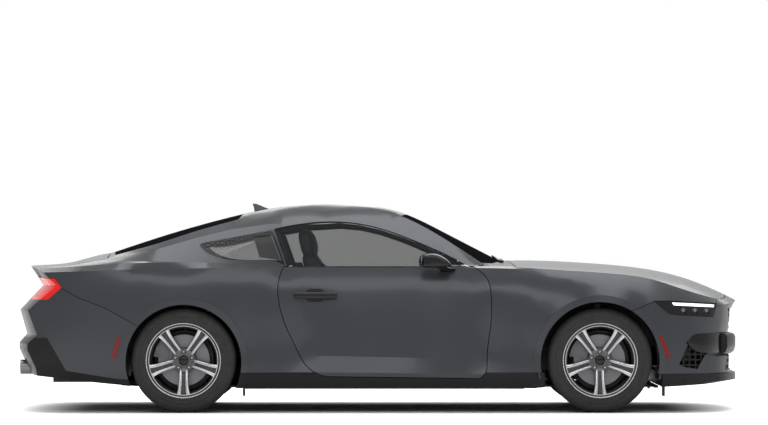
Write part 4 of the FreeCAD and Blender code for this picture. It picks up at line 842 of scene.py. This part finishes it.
# Dashboard, console and door details; the knob is (radius, height) about an upright line
block("instrument_screen", (0.545, 0.2, 0.905), (0.556, 0.53, 1.0), screen, "body")
block("centre_screen", (0.545, -0.18, 0.885), (0.557, 0.17, 1.005), screen, "body")
vent_half_width = 0.06
for i, y in enumerate((-0.62, -0.3, 0.3, 0.62)):
    block(f"air_vent_{i + 1}", (0.548, y - vent_half_width, 0.78),
          (0.562, y + vent_half_width, 0.83), gloss_black, "body")
KNOB = (
    (0.0, 0.075), (0.014, 0.074), (0.02, 0.066), (0.021, 0.055), (0.015, 0.04), (0.009, 0.03),
    (0.009, 0.0), (0.0, 0.0),
)
knob_x, knob_z, knob_turns = 0.22, 0.64, 24
points = [
    Vector((knob_x + r * math.cos(a), r * math.sin(a), knob_z + h))
    for a in angles(knob_turns) for r, h in KNOB
]
faces = grid_faces(knob_turns, len(KNOB), True, True)
piece("shift_knob", points, faces, gloss_black, "body")
arm_rest_y, door_pull_y = 0.76, 0.765
for word, side in SIDES:
    y = side * arm_rest_y
    block("arm_rest_" + word, (-0.42, y - 0.03, 0.66), (0.3, y + 0.012, 0.7), leather,
          "door_" + word, bevel=0.012)
    y = side * door_pull_y
    block("door_pull_" + word, (0.1, y - 0.012, 0.8), (0.28, y + 0.008, 0.82), steel,
          "door_" + word)

# Door mirrors: the housing's outline, its (place outwards, scale), the pane's (x, scale), and
# the arm as place outwards, x from and to, and z from and to
MIRROR_OUTLINE = (
    (0.287, 0.955), (0.289, 1.0), (0.297, 1.03), (0.33, 1.042), (0.39, 1.04), (0.44, 1.015),
    (0.478, 0.98), (0.484, 0.963), (0.465, 0.953), (0.4, 0.948), (0.33, 0.946), (0.295, 0.948),
)
MIRROR_STATIONS = (
    (0.946, 0.6), (0.95, 0.8), (0.962, 0.93), (0.985, 1.0), (1.01, 1.0), (1.032, 0.95),
    (1.046, 0.82), (1.053, 0.55),
)
MIRROR_PANE = ((0.2895, 1), (0.288, 0.96))
MIRROR_ARM = (
    (0.845, 0.41, 0.52, 0.915, 0.945), (0.9, 0.405, 0.5, 0.925, 0.95),
    (0.945, 0.39, 0.47, 0.935, 0.955), (0.975, 0.375, 0.45, 0.945, 0.965),
)
mirror_x, mirror_z, mirror_back = 0.375, 0.993, 0.289
pane_y, pane_half_width, pane_half_height = 1.0, 0.044, 0.034
for word, side in SIDES:
    door = "door_" + word
    middle = Vector((mirror_x, 0, mirror_z))
    rings = []
    for y, scale in MIRROR_STATIONS:
        ring = []
        for x, z in MIRROR_OUTLINE:
            spot = middle + (Vector((x, 0, z)) - middle) * scale
            ring.append(Vector((max(spot.x, mirror_back), side * y, spot.z)))
        rings.append(ring)
    housing = loft("mirror_housing_" + word, rings, gloss_black, door,
                   smooth_below=80)
    add_subdivision(housing, 2)
    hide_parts("mirror_" + word)
    rings = [
        [
            Vector((
                x,
                side * (pane_y + scale * pane_half_width * squared(math.cos(a), 0.5)),
                mirror_z + scale * pane_half_height * squared(math.sin(a), 0.5),
            ))
            for a in angles(32)
        ]
        for x, scale in MIRROR_PANE
    ]
    loft("mirror_glass_" + word, rings, mirror_glass, door, smooth_below=30)
    rings = [
        [
            Vector((
                (x0 + x1) / 2 + (x1 - x0) / 2 * math.cos(a),
                side * y,
                (z0 + z1) / 2 + (z1 - z0) / 2 * math.sin(a),
            ))
            for a in angles(16)
        ]
        for y, x0, x1, z0, z1 in MIRROR_ARM
    ]
    loft("mirror_arm_" + word, rings, gloss_black, door)

# Door handles: the bar's (x, scale), the feet's x from and to, and a black patch laid on the door
# where the handle's recess is, as painted shade
HANDLE_RUN = (
    (-0.5462, 0.35), (-0.543, 0.62), (-0.535, 0.85), (-0.52, 0.96), (-0.49, 1.0), (-0.42, 1.0),
    (-0.34, 1.0), (-0.3, 0.95), (-0.275, 0.8), (-0.265, 0.55), (-0.2605, 0.3),
)
HANDLE_FEET = ((-0.53, -0.5), (-0.305, -0.275))
foot_low, foot_z, foot_top, bar_z = 0.752, 0.764, 0.776, 0.767
foot_sunk, foot_out = 0.002, 0.026
bar_stand_off, bar_half_depth, bar_half_height = 0.0265, 0.0085, 0.021
recess_shade_x, recess_shade_half_length, recess_shade_half_height, recess_shade_edge = -0.405, 0.062, 0.042, 0.001
recess_shade_cells = 20
for word, side in SIDES:
    door = "door_" + word
    rings = []
    for x, scale in HANDLE_RUN:
        bar_y = abs(skin_point(x, foot_z, side, door).y) + bar_stand_off
        rings.append([
            Vector((
                x,
                side * (bar_y + bar_half_depth * scale * math.cos(a)),
                bar_z + bar_half_height * scale * math.sin(a),
            ))
            for a in angles(24)
        ])
    bar = loft("handle_bar_" + word, rings, gloss_black, door,
               smooth_below=80)
    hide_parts("door_handle_" + word)
    for i, (x_low, x_high) in enumerate(HANDLE_FEET):
        door_y = abs(skin_point((x_low + x_high) / 2, foot_z, side, door).y)
        low_y, high_y = sorted((side * (door_y - foot_sunk), side * (door_y + foot_out)))
        block(f"handle_foot_{word}_{i + 1}", (x_low, low_y, foot_low), (x_high, high_y, foot_top),
              gloss_black, door, bevel=0.003)
    # A black patch draped on the door skin behind the bar stands for the shade in the handle's
    # recess: painted shade
    recess_shade_top, recess_shade_low = [], []
    for i in range(recess_shade_cells + 1):
        share = -1 + 2 * i / recess_shade_cells
        x = recess_shade_x + recess_shade_half_length * share
        rise = recess_shade_half_height * math.sqrt(max(0.0, 1 - share ** 6)) + recess_shade_edge
        recess_shade_top.append((x, bar_z + rise))
        recess_shade_low.append((x, bar_z - rise))
    draped("handle_cup_" + word, recess_shade_top, recess_shade_low, black_trim, door, door, side,
           lift=0.0012, along=24, across=6)

# Sill ends behind the front wheels
sill_inner_y, sill_outer_y = 0.72, 0.896
for word, side in SIDES:
    low_y, high_y = sorted((side * sill_inner_y, side * sill_outer_y))
    block("sill_end_" + word, (1.0, low_y, 0.165), (1.097, high_y, 0.2635), black_trim,
          "body", bevel=0.006)

# Nose: black blades at the corners as x, and z from and to, and the bar across the front as
# (forward of its face, z)
BLADE = (
    (2.028, 0.452, 0.462), (2.04, 0.438, 0.482), (2.06, 0.418, 0.502), (2.09, 0.396, 0.514),
    (2.12, 0.388, 0.516), (2.16, 0.385, 0.516), (2.2, 0.385, 0.516), (2.24, 0.385, 0.516),
    (2.27, 0.386, 0.515), (2.3, 0.387, 0.514), (2.32, 0.388, 0.513),
)
NOSE_BAR = (
    (-0.1, 0.375), (-0.03, 0.377), (-0.008, 0.395), (0, 0.425), (0, 0.488), (-0.01, 0.508),
    (-0.03, 0.515), (-0.1, 0.516),
)
blade_ray_z, bar_ray_z = 0.56, 0.55
nose_bar_half, nose_bar_cells, nose_bar_out = 0.62, 24, 0.045
foremost_x, bumper_x, ahead_of_nose = 2.403, 2.33, 3
for word, side in SIDES:
    rings = []
    for x, low, top in BLADE:
        found = skin_point(x, blade_ray_z, side, "front_bumper")
        if found is None:
            continue
        section = (
            (0.004, low + 0.004), (0.006, low + 0.012), (0.006, top - 0.012),
            (0.003, top - 0.002), (-0.03, top), (-0.03, low),
        )
        rings.append([Vector((x, side * (abs(found.y) + out), z)) for out, z in section])
    loft("nose_blade_" + word, rings, gloss_black, "body")
nose = tree_of("front_bumper", "grille")
rings = []
for i in range(nose_bar_cells + 1):
    y = -nose_bar_half + 2 * nose_bar_half * i / nose_bar_cells
    front, _, _, _ = nose.ray_cast(Vector((ahead_of_nose, y, bar_ray_z)), Vector((-1, 0, 0)))
    x = min(foremost_x, (front.x if front else bumper_x) + nose_bar_out)
    rings.append([Vector((x + ahead, y, z)) for ahead, z in NOSE_BAR])
loft("nose_bar", rings, black_trim, "body")

# Roof aerial: its side view, and its (place across, fullness)
FIN = (
    (-0.828, 1.305), (-0.836, 1.35), (-0.845, 1.3795), (-0.82, 1.3775), (-0.795, 1.368),
    (-0.768, 1.356), (-0.74, 1.346), (-0.706, 1.337), (-0.72, 1.305),
)
FIN_STATIONS = (
    (-1, 0.0), (-0.96, 0.55), (-0.7, 0.85), (0, 1.0), (0.7, 0.85), (0.96, 0.55), (1, 0.0),
)
fin_x, fin_z, fin_foot, fin_height, fin_half_width = -0.79, 1.325, 1.305, 0.075, 0.026
fin_end_scale, fin_narrowing = 0.9, 0.8
rings = []
for share, fullness in FIN_STATIONS:
    scale = lerp(fin_end_scale, 1, fullness)
    rings.append([
        Vector((
            fin_x + (x - fin_x) * scale,
            share * (fin_half_width * (1 - fin_narrowing * ((z - fin_foot) / fin_height))),
            fin_z + (z - fin_z) * scale,
        ))
        for x, z in FIN
    ])
fin = loft("roof_aerial", rings, paint, "body", smooth_below=40)
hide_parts("antenna_fin")

# Headlamps: the lit bar, and three round modules as (radius, height) about their own axis
BAR_TOP = steps((19.25, 7.2), (20.2, 7.15), (21.2, 7.09), (22.12, 7.03))
BAR_LOW = steps((19.35, 7.03), (20.2, 6.98), (21.2, 6.93), (22.08, 6.88))
MODULE_PLACES = steps((19.98, 6.66), (20.77, 6.64), (21.55, 6.62))
MODULE = (
    (0.0, 0.009), (0.006, 0.0085), (0.011, 0.006), (0.0145, 0.002), (0.0155, 0.003),
    (0.0185, 0.003), (0.019, -0.002), (0.0, -0.003),
)
module_forward, module_lift, module_turns = 0.25, 0.001, 32
for word, side in SIDES:
    draped("lamp_bar_" + word, BAR_TOP, BAR_LOW, light_bar, "body", "headlamps",
           side, lift=0.002, along=24, across=2)
    facing = Vector((module_forward, side, 0)).normalized().to_track_quat("Z", "Y").to_matrix()
    for i, (x, z) in enumerate(MODULE_PLACES):
        spot = skin_point(x, z, side, "headlamps", module_lift)
        if spot is None:
            continue
        points = [
            spot + facing @ Vector((r * math.cos(a), r * math.sin(a), h))
            for a in angles(module_turns) for r, h in MODULE
        ]
        faces = grid_faces(module_turns, len(MODULE), True, True)
        piece(f"lamp_module_{word}_{i + 1}", points, faces, lamp_chrome, "body")


# Stage
def linked_math(tree, operation, first, second):
    """A math node on two sockets or numbers."""
    made = tree.nodes.new("ShaderNodeMath")
    made.operation = operation
    for socket, value in zip(made.inputs, (first, second)):
        if isinstance(value, (int, float)):
            socket.default_value = value
        else:
            tree.links.new(value, socket)
    return made.outputs[0]


def seen(tree):
    """1 for rays from the camera and for mirrored and passing rays."""
    path = tree.nodes.new("ShaderNodeLightPath")
    total = path.outputs["Is Camera Ray"]
    for name in ("Is Glossy Ray", "Is Transmission Ray"):
        total = linked_math(tree, "MAXIMUM", total, path.outputs[name])
    return total


def floor_finish(pale=0.85, glow_strength=0.85):
    """A pale matt floor that takes the car's shadow, turns plain white away from it, and has a
    painted shadow where its glow fades out near the car.
    """
    made = bpy.data.materials.new("floor")
    made.use_nodes = True
    tree = made.node_tree
    plain = shader_of(made)
    plain.inputs["Base Color"].default_value = (pale, pale, pale, 1)
    plain.inputs["Roughness"].default_value = 0.9
    plain.inputs["Specular IOR Level"].default_value = 0.0
    glow = tree.nodes.new("ShaderNodeEmission")
    glow.inputs["Color"].default_value = (1, 1, 1, 1)
    place = tree.nodes.new("ShaderNodeTexCoord")
    axes = tree.nodes.new("ShaderNodeSeparateXYZ")
    tree.links.new(place.outputs["Object"], axes.inputs["Vector"])
    away = []
    # The glow fades out over the car's footprint, so the floor under and beside the car stays
    # darker: a painted shadow
    for axis, near, far in (("X", 1.9, 2.7), ("Y", 0.9, 1.35)):
        ramp = tree.nodes.new("ShaderNodeMapRange")
        ramp.interpolation_type = "SMOOTHSTEP"
        ramp.inputs["From Min"].default_value = near
        ramp.inputs["From Max"].default_value = far
        distance = linked_math(tree, "ABSOLUTE", axes.outputs[axis], 0)
        tree.links.new(distance, ramp.inputs["Value"])
        away.append(ramp.outputs["Result"])
    far_off = linked_math(tree, "MAXIMUM", *away)
    open_floor = linked_math(tree, "MULTIPLY", far_off, glow_strength)
    strength = linked_math(tree, "MULTIPLY", seen(tree), open_floor)
    tree.links.new(strength, glow.inputs["Strength"])
    both = tree.nodes.new("ShaderNodeAddShader")
    tree.links.new(plain.outputs["BSDF"], both.inputs[0])
    tree.links.new(glow.outputs["Emission"], both.inputs[1])
    tree.links.new(both.outputs["Shader"], tree.nodes["Material Output"].inputs["Surface"])
    return made


def softbox(name, place, target, size_x, size_y, power):
    """A large soft lamp."""
    lamp = bpy.data.lights.new(name, "AREA")
    lamp.shape = "RECTANGLE"
    lamp.size, lamp.size_y = size_x, size_y
    lamp.energy = power
    made = bpy.data.objects.new(name, lamp)
    bpy.context.scene.collection.objects.link(made)
    made.location = place
    made.rotation_euler = (Vector(target) - Vector(place)).to_track_quat("-Z", "Y").to_euler()


floor_reach = 60
floor_corners = [
    (-floor_reach, -floor_reach, 0), (floor_reach, -floor_reach, 0),
    (floor_reach, floor_reach, 0), (-floor_reach, floor_reach, 0),
]
floor_mesh = bpy.data.meshes.new("floor")
floor_mesh.from_pydata(floor_corners, [], [(0, 1, 2, 3)])
floor_mesh.materials.append(floor_finish())
floor = bpy.data.objects.new("floor", floor_mesh)
bpy.context.scene.collection.objects.link(floor)

# Surroundings: dim on matt surfaces, and plain white where they are seen or mirrored
ambient_strength = 0.36
world = bpy.data.worlds.new("studio")
bpy.context.scene.world = world
world.use_nodes = True
tree = world.node_tree
background = tree.nodes["Background"]
background.inputs["Color"].default_value = (0.8, 0.8, 0.8, 1)
background.inputs["Strength"].default_value = ambient_strength
bright = tree.nodes.new("ShaderNodeBackground")
bright.inputs["Color"].default_value = (1, 1, 1, 1)
bright.inputs["Strength"].default_value = 1.0
mix = tree.nodes.new("ShaderNodeMixShader")
tree.links.new(seen(tree), mix.inputs["Fac"])
tree.links.new(background.outputs["Background"], mix.inputs[1])
tree.links.new(bright.outputs["Background"], mix.inputs[2])
tree.links.new(mix.outputs["Shader"], tree.nodes["World Output"].inputs["Surface"])

softbox("top lamp", (0, 0, 6.5), (0, 0, 0), size_x=9, size_y=5, power=640)
softbox("side lamp", (0, -9, 5.5), (0, 0, 0.7), size_x=11, size_y=2.5, power=300)
softbox("far lamp", (0, 9, 5.5), (0, 0, 0.7), size_x=11, size_y=2.5, power=300)

camera_data = bpy.data.cameras.new("camera")
camera = bpy.data.objects.new("camera", camera_data)
bpy.context.scene.collection.objects.link(camera)
camera.location = (camera_along, -camera_distance, camera_height)
camera.rotation_euler = (math.radians(90), 0, 0)
camera_data.sensor_width = sensor_width
camera_data.lens = focal_pixels / photo_width * sensor_width
camera_data.shift_y = (horizon_row - photo_height / 2) / photo_width
camera_data.clip_end = view_depth
bpy.context.scene.camera = camera
bpy.context.scene.view_settings.view_transform = "Standard"
